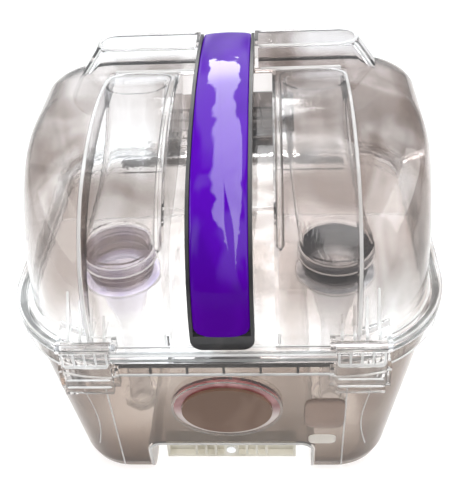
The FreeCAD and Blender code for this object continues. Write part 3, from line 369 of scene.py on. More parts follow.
def finish(name, clear, shade, scale=10.0, polish=0.05, dull=0.2, wave=20.0, grain=0.1,
           bump=0.1, reach=0.0005, squeeze=(1.0, 1.0, 1.0), edge=None, **fixed):
    """A material with two drifting colours, rubbed gloss and a moulded bump.

    An edge colour deepens clear walls where they are seen at a slant, and every further
    name sets the shader's socket of that name.
    """
    material = bpy.data.materials.new(name)
    material.use_nodes = True
    tree = material.node_tree
    shader = tree.nodes["Principled BSDF"]
    for label, value in fixed.items():
        shader.inputs[label.replace("_", " ")].default_value = value
    spot = stretch(tree, tree.nodes.new("ShaderNodeTexCoord").outputs["Object"], squeeze)
    parts = {}
    for label, values in (
        ("cloud_tint", {"Scale": scale, "Clear": (*clear, 1.0), "Shade": (*shade, 1.0)}),
        ("rub_marks", {"Polish": polish, "Dull": dull}),
        ("moulded_wave", {"Scale": wave, "Grain": grain}),
    ):
        node = tree.nodes.new("ShaderNodeGroup")
        node.node_tree = bpy.data.node_groups[label]
        tree.links.new(spot, node.inputs["Vector"])
        for socket, value in values.items():
            node.inputs[socket].default_value = value
        parts[label] = node
    relief = tree.nodes.new("ShaderNodeBump")
    relief.inputs["Strength"].default_value = bump
    relief.inputs["Distance"].default_value = reach
    tree.links.new(parts["moulded_wave"].outputs["Height"], relief.inputs["Height"])
    colour = parts["cloud_tint"].outputs["Color"]
    if edge:
        facing = tree.nodes.new("ShaderNodeLayerWeight")
        facing.inputs["Blend"].default_value = 0.4
        slant = ramp(tree, facing.outputs["Facing"], 0.25, 1.0)
        colour = mix_colour(tree, slant, colour, (*edge, 1.0))
    tree.links.new(colour, shader.inputs["Base Color"])
    tree.links.new(parts["rub_marks"].outputs["Roughness"], shader.inputs["Roughness"])
    tree.links.new(relief.outputs["Normal"], shader.inputs["Normal"])
    finished.append(name)
    return material


# A trace of glow stands in for the haze of light that thick clear edges gather.
CLEAR = {"Transmission_Weight": 1.0, "IOR": 1.36,
         "Emission_Color": (0.97, 0.98, 1.0, 1.0), "Emission_Strength": 0.014}

# %% The clear finishes
lid_plastic = finish("lid_plastic", (0.955, 0.96, 0.965), (0.55, 0.505, 0.48), 14.0,
                     polish=0.02, dull=0.12, wave=18.0, bump=0.25, reach=0.001,
                     squeeze=(1.3, 1.3, 0.22), edge=(0.66, 0.665, 0.65), **CLEAR)
tub_plastic = finish("tub_plastic", (0.94, 0.935, 0.93), (0.74, 0.705, 0.68), 15.0,
                     polish=0.04, dull=0.16, wave=22.0, bump=0.3, reach=0.001,
                     squeeze=(1.0, 1.0, 0.35), edge=(0.66, 0.60, 0.55), **CLEAR)
rim_plastic = finish("rim_plastic", (0.93, 0.93, 0.925), (0.83, 0.81, 0.79), 14.0,
                     polish=0.04, dull=0.16, bump=0.15, edge=(0.74, 0.74, 0.72), **CLEAR)
# The plate glows faintly, a painted light that brightens it.
plate_plastic = finish("plate_plastic", (0.96, 0.965, 0.97), (0.90, 0.895, 0.89), 12.0,
                       polish=0.05, dull=0.2, bump=0.15, Transmission_Weight=0.82, IOR=1.36,
                       Emission_Color=(0.82, 0.95, 1.0, 1.0), Emission_Strength=0.09)
duct_plastic = finish("duct_plastic", (0.975, 0.975, 0.975), (0.90, 0.885, 0.875), 14.0,
                      polish=0.04, dull=0.15, bump=0.2, Transmission_Weight=1.0, IOR=1.22)
catch_plastic = finish("catch_plastic", (0.89, 0.875, 0.86), (0.70, 0.67, 0.65), 30.0,
                       polish=0.04, dull=0.16, bump=0.15, edge=(0.76, 0.74, 0.72), **CLEAR)
bead_plastic = finish("bead_plastic", (0.95, 0.96, 0.965), (0.82, 0.82, 0.81), 20.0,
                      polish=0.08, dull=0.25, wave=60.0, bump=0.1,
                      Transmission_Weight=0.6, IOR=1.36)
pad_plastic = finish("pad_plastic", (0.46, 0.36, 0.31), (0.38, 0.29, 0.25), 20.0,
                     polish=0.1, dull=0.25, bump=0.1, Transmission_Weight=0.7, IOR=1.36)
band_plastic = finish("band_plastic", (0.93, 0.90, 0.84), (0.86, 0.82, 0.75), 30.0,
                      polish=0.15, dull=0.3, bump=0.1, Transmission_Weight=0.5, IOR=1.36)
smoke_plastic = finish("smoke_plastic", (0.86, 0.87, 0.885), (0.55, 0.56, 0.58), 34.0,
                       polish=0.06, dull=0.2, grain=0.02, bump=0.2, reach=0.0006,
                       squeeze=(2.0, 2.0, 0.3), Transmission_Weight=0.85, IOR=1.3)
taupe_plastic = finish("taupe_plastic", (0.90, 0.875, 0.95), (0.80, 0.77, 0.90), 30.0,
                       polish=0.06, dull=0.2, bump=0.2, reach=0.0006, squeeze=(2.0, 2.0, 0.4),
                       Transmission_Weight=0.85, IOR=1.3)
print("clear finishes:", finished)

# %% The solid finishes
satin_black = finish("satin_black", (0.022, 0.022, 0.024), (0.035, 0.034, 0.035), 60.0,
                     polish=0.32, dull=0.5, wave=200.0, grain=0.6, bump=0.12)
violet_gloss = finish("violet_gloss", (0.098, 0.002, 0.46), (0.076, 0.001, 0.37), 16.0,
                      polish=0.03, dull=0.09, wave=13.0, grain=0.01, bump=0.35, reach=0.0009,
                      squeeze=(1.6, 0.7, 0.7), Coat_Roughness=0.02, Specular_IOR_Level=0.0)
soft_grip = finish("soft_grip", (0.02, 0.02, 0.021), (0.03, 0.03, 0.03), 80.0,
                   polish=0.6, dull=0.75, wave=300.0, grain=0.8, bump=0.3)
gasket_rubber = finish("gasket_rubber", (0.10, 0.105, 0.102), (0.16, 0.165, 0.16), 60.0,
                       polish=0.45, dull=0.6, wave=150.0, grain=0.5, bump=0.15)
rim_rubber = finish("rim_rubber", (0.46, 0.47, 0.47), (0.60, 0.61, 0.61), 60.0,
                    polish=0.4, dull=0.55, wave=150.0, grain=0.5, bump=0.15)
milky_rubber = finish("milky_rubber", (0.86, 0.86, 0.85), (0.78, 0.78, 0.77), 60.0,
                      polish=0.3, dull=0.45, wave=120.0, bump=0.1,
                      Transmission_Weight=0.6, IOR=1.36)
cream_plastic = finish("cream_plastic", (0.66, 0.63, 0.55), (0.56, 0.53, 0.45), 40.0,
                       polish=0.3, dull=0.45, wave=120.0, grain=0.4, bump=0.12)
taupe_gloss = finish("taupe_gloss", (0.150, 0.088, 0.060), (0.185, 0.116, 0.083), 22.0,
                     polish=0.3, dull=0.4, wave=60.0, bump=0.06, Specular_IOR_Level=0.2)
rose_gloss = finish("rose_gloss", (0.22, 0.06, 0.06), (0.37, 0.15, 0.15), 40.0,
                    polish=0.1, dull=0.25, wave=40.0, bump=0.08,
                    Coat_Weight=0.7, Coat_Roughness=0.04)
pin_steel = finish("pin_steel", (0.84, 0.85, 0.87), (0.72, 0.73, 0.75), 70.0,
                   polish=0.25, dull=0.4, wave=160.0, bump=0.08, Metallic=1.0)
cage_grey = finish("cage_grey", (0.085, 0.09, 0.098), (0.16, 0.165, 0.17), 50.0,
                   polish=0.25, dull=0.45, wave=120.0, grain=0.4, bump=0.12)
float_black = finish("float_black", (0.03, 0.032, 0.035), (0.05, 0.05, 0.055), 50.0,
                     polish=0.3, dull=0.5, wave=120.0, grain=0.4, bump=0.12)
pale_floor = finish("pale_floor", (0.95, 0.95, 0.95), (0.94, 0.94, 0.94), 3.0,
                    polish=0.7, dull=0.8, wave=60.0, bump=0.02,
                    Emission_Color=(1.0, 1.0, 1.0, 1.0), Emission_Strength=0.17)
floor.data.materials.append(pale_floor)
print("finishes in all:", len(finished))

# %% [markdown]
# ## Tints, painted reflections and painted shade by place
#
# The colour over the tank changes from place to place. Its dome is warmer above than at the
# flange, and the panels beside the handle are darker than the curves around them, with
# painted taupe reflections. The top of the air box carries a painted reflection, pale on its
# left half and greyer on its right. The tub is darker in front, and the risers are dark only
# inside their mouths, a painted shade. The badge's ring turns pale below its middle, the
# valve's cage is paler on its left, and the handle is darker at its lower end, a painted
# shade. Each such change is a mask from the object's own coordinates and a colour that is
# laid over the finish where the mask is 1.

# %% Masks and overlays
def along_axis(material, axis, start, end):
    """A mask that rises from 0 at the start to 1 at the end along X, Y or Z."""
    tree = material.node_tree
    split = tree.nodes.new("ShaderNodeSeparateXYZ")
    tree.links.new(tree.nodes.new("ShaderNodeTexCoord").outputs["Object"], split.inputs["Vector"])
    return ramp(tree, split.outputs[axis], start, end)


def round_axis(material, x, y, start, end):
    """A mask that rises with the distance from an upright axis through (x, y)."""
    tree = material.node_tree
    place = tree.nodes.new("ShaderNodeMapping")
    place.inputs["Location"].default_value = (-x, -y, 0.0)
    place.inputs["Scale"].default_value = (1.0, 1.0, 0.0)
    tree.links.new(tree.nodes.new("ShaderNodeTexCoord").outputs["Object"], place.inputs["Vector"])
    size = tree.nodes.new("ShaderNodeVectorMath")
    size.operation = "LENGTH"
    tree.links.new(place.outputs["Vector"], size.inputs[0])
    return ramp(tree, size.outputs["Value"], start, end)


def overlay(material, colour, *masks, blend="MULTIPLY"):
    """Lays a colour over a finish where all the masks are 1."""
    tree = material.node_tree
    share = masks[0]
    for mask in masks[1:]:
        share = arithmetic(tree, "MULTIPLY", share, mask)
    socket = tree.nodes["Principled BSDF"].inputs["Base Color"]
    before = socket.links[0].from_socket
    tree.links.new(mix_colour(tree, share, before, (*colour, 1.0), blend), socket)


# %% Tint the lid and paint reflections on it
upper = along_axis(lid_plastic, "Z", 0.145, 0.175)
below_box = along_axis(lid_plastic, "Z", 0.236, 0.226)
on_box = along_axis(lid_plastic, "Z", 0.226, 0.236)
overlay(lid_plastic, (0.79, 0.755, 0.74), upper, below_box)
overlay(lid_plastic, (0.80, 0.765, 0.75), along_axis(lid_plastic, "X", 0.025, 0.045),
        along_axis(lid_plastic, "Z", 0.165, 0.195), below_box)
# Painted reflections on the air box's top: sky-white on its left half, greyer on its right.
overlay(lid_plastic, (0.97, 0.98, 0.99), on_box, along_axis(lid_plastic, "X", 0.0, -0.03),
        blend="MIX")
overlay(lid_plastic, (0.86, 0.85, 0.855), on_box, along_axis(lid_plastic, "X", 0.0, 0.03))
# The panels beside the handle get painted taupe reflections, one band low and one high on each.
for sign, tint, high_tint in ((1, (0.86, 0.835, 0.825), (0.88, 0.865, 0.86)),
                              (-1, (0.90, 0.89, 0.885), (0.78, 0.77, 0.765))):
    panel = arithmetic(lid_plastic.node_tree, "MULTIPLY",
                       along_axis(lid_plastic, "X", sign * 0.033, sign * 0.040),
                       along_axis(lid_plastic, "X", sign * 0.092, sign * 0.086))
    overlay(lid_plastic, tint, panel, along_axis(lid_plastic, "Z", 0.18, 0.20), below_box)
    overlay(lid_plastic, high_tint, panel, along_axis(lid_plastic, "Z", 0.205, 0.222), below_box)
overlay(lid_plastic, (0.74, 0.74, 0.735), along_axis(lid_plastic, "X", 0.085, 0.10),
        along_axis(lid_plastic, "Z", 0.142, 0.15), along_axis(lid_plastic, "Z", 0.19, 0.17))
print("the lid's finish takes", len(lid_plastic.node_tree.nodes), "nodes")

# %% Tint the tub
for _, sign in SIDES:
    overlay(tub_plastic, (0.85, 0.81, 0.785),
            along_axis(tub_plastic, "X", sign * 0.075, sign * 0.10),
            along_axis(tub_plastic, "Z", 0.055, 0.08), along_axis(tub_plastic, "Y", -0.045, -0.08))
front = along_axis(tub_plastic, "Y", -0.055, -0.10)
overlay(tub_plastic, (0.41, 0.355, 0.315), front)
overlay(tub_plastic, (0.84, 0.80, 0.775), front, along_axis(tub_plastic, "X", -0.03, -0.07))
overlay(tub_plastic, (0.80, 0.76, 0.73), along_axis(tub_plastic, "Z", 0.035, 0.005),
        along_axis(tub_plastic, "Y", -0.045, -0.10))
print("the tub's finish takes", len(tub_plastic.node_tree.nodes), "nodes")

# %% Tint the risers and paint shade into their mouths, and tint the badge's ring and the valve's cage
RISER_X, RISER_Y, MOUTH, MOUTH_BLUR = 0.075, -0.038, 0.0246, 0.0008
for material, sign, dark, low in ((smoke_plastic, 1, (0.006, 0.007, 0.011), 0.130),
                                  (taupe_plastic, -1, (0.42, 0.37, 0.335), 0.128)):
    # Painted shade inside each riser's mouth: near black in the smoke riser, taupe in the lilac
    # one.
    in_mouth = round_axis(material, sign * RISER_X, RISER_Y, MOUTH, MOUTH - MOUTH_BLUR)
    overlay(material, dark, in_mouth, along_axis(material, "Z", low, low + 0.012))
    overlay(material, (0.97, 0.97, 0.975), along_axis(material, "Z", 0.108, 0.090), blend="MIX")
ring_middle = sum(corner[2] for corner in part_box("badge_ring")) / 2
overlay(rose_gloss, (0.62, 0.55, 0.52),
        along_axis(rose_gloss, "Z", ring_middle + 0.004, ring_middle - 0.012), blend="MIX")
overlay(cage_grey, (0.50, 0.50, 0.51), along_axis(cage_grey, "X", -0.006, -0.018), blend="MIX")
print("the ring turns from rose to pale round z =", round(ring_middle, 4))

# %% Darken the handle's lower end with painted shade, and thin its coat there
# Painted shade: the violet turns darker and redder towards the handle's lower end.
overlay(violet_gloss, (1.0, 0.8, 0.78), along_axis(violet_gloss, "Z", 0.215, 0.155))
violet = violet_gloss.node_tree
WORN, FULL = 0.04, 0.96
coat = arithmetic(violet, "MULTIPLY", along_axis(violet_gloss, "Z", 0.165, 0.215), FULL - WORN)
coat = arithmetic(violet, "ADD", coat, WORN)
violet.links.new(coat, violet.nodes["Principled BSDF"].inputs["Coat Weight"])
print("coat weight from", WORN, "to", FULL)

# %% [markdown]
# ## Give each engineering part its finish
#
# The frame's own parts keep their shapes. A part gets a finish through its object's
# material slot, so the mesh itself isn't touched.

# %% Assign the finishes
FINISH_OF = {
    lid_plastic: ["lid_shell"],
    duct_plastic: ["duct_right", "duct_left"],
    catch_plastic: ["catch_right", "catch_left", "badge_bezel"],
    tub_plastic: ["tank_body"],
    rim_plastic: ["tank_rim"],
    plate_plastic: ["separator_plate"],
    smoke_plastic: ["riser_right"],
    taupe_plastic: ["riser_left"],
    satin_black: ["handle_frame"],
    violet_gloss: ["handle_cover"],
    soft_grip: ["handle_grip"],
    rim_rubber: ["rim_seal"],
    gasket_rubber: ["outlet_gasket", "float_seal"],
    milky_rubber: ["riser_seal_right", "riser_seal_left"],
    cream_plastic: ["ribbed_strip"],
    taupe_gloss: ["badge_plate"],
    rose_gloss: ["badge_ring"],
    pin_steel: ["hinge_pin_right", "hinge_pin_left", "catch_pin_right", "catch_pin_left",
                "handle_screws", "ribbed_strip_screw"],
    cage_grey: ["float_cage"],
    float_black: ["float"],
}
for material, names in FINISH_OF.items():
    for name in names:
        for slot in NODES[name].material_slots:
            slot.material = material
left_bare = sorted(set(NODES) - {name for names in FINISH_OF.values() for name in names})
print("parts without a finish:", left_bare)

# %% [markdown]
# ## Surfaces from grids
#
# Every new piece is a skin over a grid of points, worked out at once as a numpy array.
# A bead is a small circle carried along a line. The line has an outward direction at
# each point, which keeps the circle from twisting. Where a skin ends, its last row is
# drawn together into one point, so that the piece is closed.
#
# Lengths in these cells are in millimetres, as on the drawing, and become metres only
# when the mesh is made.

# %% Make a piece from a grid
MM = 0.001
UP, FORWARD, RIGHT = (0.0, 0.0, 1.0), (0.0, -1.0, 0.0), (1.0, 0.0, 0.0)
made = []


def skin(grid, wrap_rows=False, wrap_columns=True):
    """Vertices and quads of a grid of points.

    A quad joins (row, column) to its neighbours one row and one column on. A wrapped side
    joins its last line to its first.
    """
    rows, columns = grid.shape[:2]
    number = np.arange(rows * columns).reshape(rows, columns)
    down = np.roll(number, -1, 0) if wrap_rows else number[1:]
    here = number if wrap_rows else number[:-1]
    here_next, down_next = np.roll(here, -1, 1), np.roll(down, -1, 1)
    quads = np.stack([here, here_next, down_next, down], -1)
    if not wrap_columns:
        quads = quads[:, :-1]
    return grid.reshape(-1, 3), quads.reshape(-1, 4)


def piece(name, skins, body, finish_used):
    """One object of one or more skins, its ends welded and its faces turned outwards."""
    points, faces, total = [], [], 0
    for corners, quads in skins:
        points.append(corners * MM)
        faces.append(quads + total)
        total += len(corners)
    mesh = bpy.data.meshes.new(name)
    mesh.from_pydata(np.concatenate(points).tolist(), [], np.concatenate(faces).tolist())
    work = bmesh.new()
    work.from_mesh(mesh)
    bmesh.ops.remove_doubles(work, verts=work.verts, dist=1e-6)
    bmesh.ops.recalc_face_normals(work, faces=work.faces)
    work.to_mesh(mesh)
    work.free()
    mesh.shade_smooth()
    mesh.materials.append(finish_used)
    item = bpy.data.objects.new(name, mesh)
    bpy.context.scene.collection.objects.link(item)
    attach(item, body)
    made.append(name)
    return item


def unit(vectors):
    """The vectors, each divided by its length."""
    return vectors / np.linalg.norm(vectors, axis=-1, keepdims=True)


def bead(line, outward, wide, high, facets=12, closed=False):
    """An oval rod along a line: point + outward * high * sin + sideways * wide * cos.

    The outward direction is one for each point, or a single one for the whole line.
    """
    outward = np.broadcast_to(outward, line.shape)
    if closed:
        along = np.roll(line, -1, 0) - np.roll(line, 1, 0)
    else:
        along = np.gradient(line, axis=0)
    sideways = unit(np.cross(unit(along), outward))
    turn = np.linspace(0, 2 * np.pi, facets, endpoint=False)[None, :, None]
    ring = wide * np.cos(turn) * sideways[:, None] + high * np.sin(turn) * outward[:, None]
    if not closed:
        size = np.ones((len(line), 1, 1))
        size[[0, -1]] = 0.0
        ring = ring * size
    return skin(line[:, None] + ring, wrap_rows=closed)


def rod_line(points, count=24):
    """Points spaced evenly along straight runs between the given corners."""
    points = np.asarray(points, float)
    walk = np.r_[0, np.cumsum(np.linalg.norm(np.diff(points, axis=0), axis=1))]
    even = np.linspace(0, walk[-1], count)
    return np.column_stack([np.interp(even, walk, points[:, axis]) for axis in range(3)])


test_points, test_faces = bead(rod_line([(0, 0, 0), (10, 0, 0)]), UP, 1.0, 1.0)
print("a straight bead has", len(test_points), "points and", len(test_faces), "faces")

# %% [markdown]
# ## The arch
#
# The handle and the raised middle of the lid follow one kind of curve in side view:
# straight up, round a tight front arc until the surface leans back 20 degrees, then
# along a long shallow arc to the back. All the pieces on them ask this function for
# points and for the direction out of the surface.

# %% Points along the arch
NEAR_RADIUS, NEAR_Y, NEAR_Z, LEAN = 91.0, -31.0, 150.0, math.radians(20)
HANDLE_FAR, LID_FAR = 318.0, 204.5  # radius of the long arc, on the handle and on the lid
LID_DROP = 4.5  # the lid's raised middle lies this far under the curve


def arch(far, drop, foot, end, count=120):
    """Side-view points (y, z) and outward directions, evenly spaced along the curve.

    A point is its arc's middle + radius * (-cos(turn), sin(turn)). The front arc is round
    (NEAR_Y, NEAR_Z). The far arc takes over where the surface leans back by LEAN, and the
    drop is taken off both radii.
    """
    near_radius, far_radius = NEAR_RADIUS - drop, far - drop
    middle = np.array([NEAR_Y, NEAR_Z])
    far_middle = middle + (far - NEAR_RADIUS) * np.array([math.sin(LEAN), -math.cos(LEAN)])
    last = math.acos((far_middle[0] - end) / far_radius)
    legs = np.array([NEAR_Z - foot, near_radius * (math.pi / 2 - LEAN),
                     far_radius * (last - math.pi / 2 + LEAN)])
    walk = np.linspace(0, legs.sum(), count)
    near_turn = np.clip((walk - legs[0]) / near_radius, 0, math.pi / 2 - LEAN)
    far_turn = np.maximum(walk - legs[0] - legs[1], 0) / far_radius
    turn = near_turn + far_turn
    out = np.stack([-np.cos(turn), np.sin(turn)], -1)
    on_far = (far_turn > 0)[:, None]
    spots = np.where(on_far, far_middle + far_radius * out, middle + near_radius * out)
    spots[:, 1] += np.minimum(walk - legs[0], 0)
    return spots, out


def on_arch(x, sides, out):
    """The side-view points and directions set at x, as 3-D arrays."""
    x = np.broadcast_to(x, sides.shape[:1])
    return np.column_stack([x, sides]), np.column_stack([np.zeros(len(x)), out])


for name, far in (("handle", HANDLE_FAR), ("lid", LID_FAR)):
    print("over y = 75 mm the curve of the", name, "is at z =",
          round(arch(far, 0.0, NEAR_Z, 75.0)[0][-1, 1], 1))

# %% [markdown]
# ## The handle's gloss cover
#
# The cover is a long gloss moulding let into the black frame. Its face is slightly
# crowned from side to side, which pulls the reflection of the long lamp into a streak
# down the middle, and the two corners of its front end are rounded. A flat strip would
# mirror the whole studio in one go and look like a sticker. It replaces the plain
# engineering strip and keeps its outline.

# %% Make the cover
half, thick, crown, corner = 17.6, 5.0, 1.3, 7.0
SQUARENESS = 0.25  # the power that turns the section's oval into a rounded box
sides, out = arch(HANDLE_FAR, drop=thick, foot=149.0, end=101.0, count=160)
step = np.r_[0, np.cumsum(np.linalg.norm(np.diff(sides, axis=0), axis=1))]
into_corner = np.clip(corner - step, 0, corner)
reach = half - corner + np.sqrt(corner**2 - into_corner**2)
turn = np.linspace(0, 2 * np.pi, 64, endpoint=False)
rounded = np.sign(np.cos(turn)) * np.abs(np.cos(turn)) ** SQUARENESS
lifted = np.sign(np.sin(turn)) * np.abs(np.sin(turn)) ** SQUARENESS
x = reach[:, None] * rounded[None]
height = thick / 2 * (1 + lifted[None]) - crown * (x / half) ** 2 * (lifted[None] > 0)
grid = np.empty((*x.shape, 3))
grid[..., 0] = x
grid[..., 1:] = sides[:, None] + height[..., None] * out[:, None]
ends = grid.mean(axis=1, keepdims=True)[[0, -1]].repeat(grid.shape[1], axis=1)
cover = piece("gloss_cover", [skin(np.concatenate([ends[:1], grid, ends[1:]]))],
              "lid", violet_gloss)
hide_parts("handle_cover")
print("cover:", round(step[-1], 1), "mm long along the arch")

# %% [markdown]
# ## Moulded beads of the lid
#
# The lid's raised middle is edged with rounded beads: one along each side from the
# flange up and round to the air box, and one loop on each panel beside the hand well.
# On the real lid these rounded edges are what catches the light first. Each is a bead
# along the arch that turns a rounded corner near the top.

# %% Edge beads and panel loops
def edge_line(start_x, end_x, radius, foot, last_y, count=90):
    """Along the arch at one x until last_y, a quarter turn, and straight across to the end x."""
    sides, out = arch(LID_FAR, LID_DROP, foot, last_y - radius, count)
    line, normals = on_arch(start_x, sides, out)
    way = math.copysign(1.0, end_x - start_x)
    turn = np.linspace(0, np.pi / 2, 14)[1:]
    y = last_y - radius + radius * np.sin(turn)
    corner_x = start_x + way * radius * (1 - np.cos(turn))
    run_x = np.linspace(corner_x[-1], end_x, 16)[1:]
    y = np.r_[y, np.full(len(run_x), last_y)]
    over, over_out = arch(LID_FAR, LID_DROP, foot, last_y, 400)
    z = np.interp(y, over[:, 0], over[:, 1])
    lift = np.column_stack([np.interp(y, over[:, 0], over_out[:, axis]) for axis in (0, 1)])
    rest = np.column_stack([np.r_[corner_x, run_x], y, z])
    rest_out = unit(np.column_stack([np.zeros(len(y)), lift]))
    return np.concatenate([line, rest]), np.concatenate([normals, rest_out])


for side, sign in SIDES:
    line, normals = edge_line(sign * 84.6, sign * 34.5, 26.0, 138.0, 73.0)
    piece("edge_bead_" + side, [bead(line, normals, 1.1, 0.7)], "lid", bead_plastic)
    line, normals = edge_line(sign * 36.7, sign * 76.0, 20.0, 203.0, 66.0, 60)
    piece("panel_loop_" + side, [bead(line, normals, 2.4, 0.5)], "lid", rim_plastic)
print("beads of the raised middle:", made[-4:])

# %% Beads round the air box
def box_line(sign, per_corner=14, count=90):
    """From the handle's side along the box's top front edge, round its end and back behind."""
    inner, end, front, back, high, corner = 23.0, 94.8, 77.2, 102.8, 249.3, 12.3
    turn = np.linspace(0, np.pi / 2, per_corner)
    front_turn = np.column_stack([end - corner + corner * np.sin(turn),
                                  front + corner * (1 - np.cos(turn))])
    back_turn = np.column_stack([front_turn[::-1, 0], front + back - front_turn[::-1, 1]])
    plan = np.concatenate([[[inner, front]], front_turn, back_turn, [[inner, back]]])
    walk = np.r_[0, np.cumsum(np.linalg.norm(np.diff(plan, axis=0), axis=1))]
    even = np.linspace(0, walk[-1], count)
    return np.column_stack([sign * np.interp(even, walk, plan[:, 0]),
                            np.interp(even, walk, plan[:, 1]), np.full(count, high)])


BOX_FOOT_Y = 75.4
sides, out = arch(LID_FAR, LID_DROP, 200.0, BOX_FOOT_Y, 400)
foot_z = sides[-1, 1] + 0.4
for side, sign in SIDES:
    piece("box_edge_" + side, [bead(box_line(sign), UP, 1.6, 0.8)], "lid", bead_plastic)
    base = rod_line([(sign * 23.5, BOX_FOOT_Y, foot_z), (sign * 84.0, BOX_FOOT_Y, foot_z)], 40)
    slant = rod_line([(sign * 92.3, 78.5, 249.0), (sign * 108.3, 78.5, 227.0)])
    piece("box_foot_" + side, [bead(base, UP, 1.5, 1.2), bead(slant, FORWARD, 0.9, 0.8)],
          "lid", bead_plastic)
print("beads round the air box:", made[-4:])

# %% [markdown]
# ## The flange's steps
#
# Lid and tub meet in a stack of thin rims, so the edge reads as several parallel lines.
# The engineering model has the main ones. These beads add the small steps between them.
# Each follows the rim's outline, a box with its own corner radius in front and behind.

# %% Rings round the rim
RIM_HALF_X, RIM_HALF_Y, FRONT_CORNER, BACK_CORNER = 146.0, 127.0, 77.0, 46.0


def rim_line(inset, z, per_corner=18, count=220):
    """A rounded box outline moved inwards: four quarter circles joined by straight runs.

    A quarter circle's point is its centre + radius * (cos, sin), and the points are then
    spaced evenly along the whole outline.
    """
    w, d = RIM_HALF_X - inset, RIM_HALF_Y - inset
    p, q = FRONT_CORNER - inset, BACK_CORNER - inset
    quarter = np.linspace(0, np.pi / 2, per_corner)
    corners = [(w - p, p - d, p, -np.pi / 2), (w - q, d - q, q, 0.0),
               (q - w, d - q, q, np.pi / 2), (p - w, p - d, p, np.pi)]
    spots = [np.column_stack([x + r * np.cos(start + quarter), y + r * np.sin(start + quarter)])
             for x, y, r, start in corners]
    flat = np.concatenate(spots)
    gaps = np.linalg.norm(np.roll(flat, -1, 0) - flat, axis=1)
    walk = np.r_[0, np.cumsum(gaps)]
    closed = np.concatenate([flat, flat[:1]])
    even = np.linspace(0, walk[-1], count, endpoint=False)
    plan = np.column_stack([np.interp(even, walk, closed[:, axis]) for axis in (0, 1)])
    return np.column_stack([plan, np.full(len(plan), z)])


for name, inset, z, wide, high, body in (
    ("flange_step", 8.8, 137.1, 0.9, 0.8, "lid"),
    ("flange_edge", 1.3, 137.0, 0.9, 0.7, "lid"),
    ("skirt_edge", 2.5, 118.6, 0.9, 0.8, "tank"),
):
    ring = bead(rim_line(inset, z), UP, wide, high, closed=True)
    piece(name, [ring], body, bead_plastic)
print("rings:", made[-3:])

# %% [markdown]
# ## Small mouldings
#
# The last small pieces are the combs of ribs on the corner shelves, the lines across
# each catch, the bright lips of the risers and the rounded edges of a few openings.

# %% Combs on the corner shelves
def across(line):
    """Outward directions for a line that runs in a plane of constant x."""
    along = unit(np.gradient(line, axis=0))
    return np.cross(RIGHT, along)


for side, sign in SIDES:
    ribs = []
    for x in (74.0, 81.8, 89.5, 97.2):
        line = rod_line([(sign * x, -104.0, 147.2), (sign * x, -118.4, 146.8),
                         (sign * x, -119.6, 145.4), (sign * x, -119.6, 138.2)])
        ribs.append(bead(line, across(line), 1.1, 0.9))
    for index, x in enumerate((73.9, 81.6, 89.4, 97.1)):
        fin_top = (sign * x, 3.8 * index - 111.0, 158.5 + 3.5 * index)
        line = rod_line([(sign * x, -118.9, 146.0), fin_top])
        ribs.append(bead(line, across(line), 0.9, 0.7))
    piece("shelf_comb_" + side, ribs, "lid", bead_plastic)
print("combs:", made[-2:], "with", len(ribs), "ribs each")

# %% Comb and lines on the catches
for side, sign, body in (("right", 1, "catch_r"), ("left", -1, "catch_l")):
    lines = []
    for z, size in ((133.5, 1.5), (121.5, 0.6), (115.0, 0.7)):
        run = rod_line([(sign * 71.0, -131.6, z), (sign * 100.0, -131.6, z)])
        lines.append(bead(run, FORWARD, size, 0.7))
    for x in (71.6, 78.6, 85.5, 92.4, 99.4):
        run = rod_line([(sign * x, -131.4, 144.5), (sign * x, -131.6, 134.0)])
        lines.append(bead(run, across(run), 0.8, 0.7))
    piece("catch_lines_" + side, lines, body, bead_plastic)
print("on the catches:", made[-2:])

# %% Lips of the risers
turn = np.linspace(0, 2 * np.pi, 96, endpoint=False)
for side, sign in SIDES:
    rings = []
    for radius, z, size in ((24.8, 155.0, 0.7), (26.3, 149.0, 0.6), (27.6, 133.0, 0.8)):
        ring = np.column_stack([sign * RISER_X / MM + radius * np.cos(turn),
                                RISER_Y / MM + radius * np.sin(turn), np.full(len(turn), z)])
        rings.append(bead(ring, UP, size, size, closed=True))
    piece("riser_lips_" + side, rings, "tank", bead_plastic)
print("lips:", made[-2:])

# %% Lines and pads on the tub's front
TUB_HIGH = 118.0


def on_front(x, z):
    """Points on the tub's tapered front wall, with the start of its rounded corners.

    With height the wall moves from 110 to 124 mm in front of the middle. Its corners grow
    from 36 to 70 mm in radius, and start at 74 mm to the side below and at 67 mm above.
    """
    share = z / TUB_HIGH
    radius = 36.0 + 34.0 * share
    into_corner = np.maximum(np.abs(x) - (74.0 - 7.0 * share), 0)
    drop = radius - np.sqrt(radius**2 - into_corner**2)
    return np.stack([x, -(110.0 + 14.0 * share) + drop, z], -1)


def pad(x, z, half_x, half_z, thick):
    """A rounded pillow on the front wall, from rings that shrink to a point on each side.

    A ring's point is its centre + half size * share * sign(cos) * sqrt(abs(cos)) in x, and
    the same with sin in z. The lift then moves each ring out of the wall.
    """
    turn = np.linspace(0, 2 * np.pi, 64, endpoint=False)
    share = np.array([0.0, 0.5, 0.9, 1.0, 0.9, 0.5, 0.0])[:, None]
    lift = np.array([1.0, 1.0, 0.9, 0.3, -0.4, -0.4, -0.4])[:, None] * thick
    spread_x = half_x * share * np.sign(np.cos(turn)) * np.abs(np.cos(turn)) ** 0.5
    spread_z = half_z * share * np.sign(np.sin(turn)) * np.abs(np.sin(turn)) ** 0.5
    grid = on_front(x + spread_x, z + spread_z)
    grid[..., 1] -= lift
    return skin(grid)


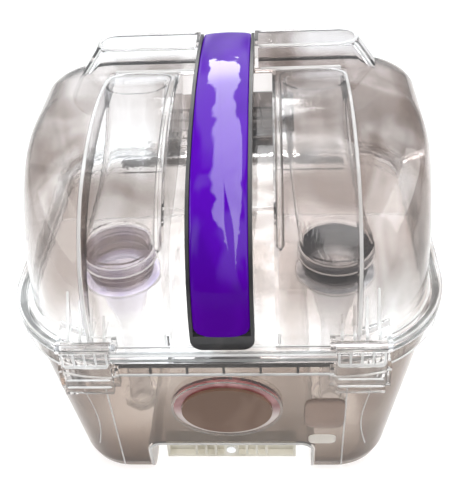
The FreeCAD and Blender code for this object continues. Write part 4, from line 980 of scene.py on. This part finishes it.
rise = np.linspace(0, 1, 60)
for side, sign in SIDES:
    line = on_front(np.full(len(rise), sign * 78.5), 9.0 + 95.0 * rise)
    bow = on_front(sign * (95.0 - 5.0 * np.sin(np.pi * rise)), 30.0 + 66.0 * rise)
    piece("wall_lines_" + side, [bead(line, FORWARD, 0.6, 0.5), bead(bow, FORWARD, 0.6, 0.5)],
          "tank", bead_plastic)
piece("front_pad", [pad(65.0, 75.0, 14.0, 17.5, 0.8)], "tank", pad_plastic)
piece("front_band", [pad(64.0, 44.5, 9.5, 5.5, 0.8)], "tank", band_plastic)
print("on the front wall:", made[-4:])

# %% Edges of the tunnel and the hand well
def tunnel_line(sign, floor_y, lean):
    """Up one side of the arch between the feet, over its rounded corners and down the other.

    The wall leans outwards with height, and near the floor it tucks in along the feet's
    rounded bottom edge.
    """
    half, top, radius, foot_round = 57.9, 37.9, 8.9, 14.0
    turn = np.linspace(0, np.pi / 2, 12)
    upright = np.linspace(3.0, top - radius, 14)
    x = np.r_[np.full(13, half), half - radius + radius * np.cos(turn)]
    z = np.r_[upright[:-1], top - radius + radius * np.sin(turn)]
    x, z = np.r_[x, -x[::-1]], np.r_[z, z[::-1]]
    tuck = foot_round - np.sqrt(foot_round**2 - np.maximum(foot_round - z, 0) ** 2)
    return rod_line(np.column_stack([x, sign * (floor_y + lean * z - tuck), z]), 110)


for side, sign, floor_y, lean in (("front", -1.0, 110.0, 0.1186), ("back", 1.0, 112.0, 0.1027)):
    edge = bead(tunnel_line(sign, floor_y, lean), (0.0, sign, 0.0), 1.1, 0.5)
    piece("tunnel_edge_" + side, [edge], "tank", bead_plastic)
for side, sign in SIDES:
    run = rod_line([(sign * 35.4, -118.0, 138.2), (sign * 35.4, -118.0, 148.0)], 16)
    piece("well_corner_" + side, [bead(run, FORWARD, 1.0, 0.6)], "lid", bead_plastic)
print("edges:", made[-4:])

# %% Rear edge of the separator plate
PLATE_X, PLATE_Y, PLATE_Z = 136.0, 30.0, 130.6
run = rod_line([(-PLATE_X, PLATE_Y, PLATE_Z), (PLATE_X, PLATE_Y, PLATE_Z)], 60)
piece("plate_edge", [bead(run, UP, 1.0, 0.9)], "tank", bead_plastic)
print("pieces made:", len(made))
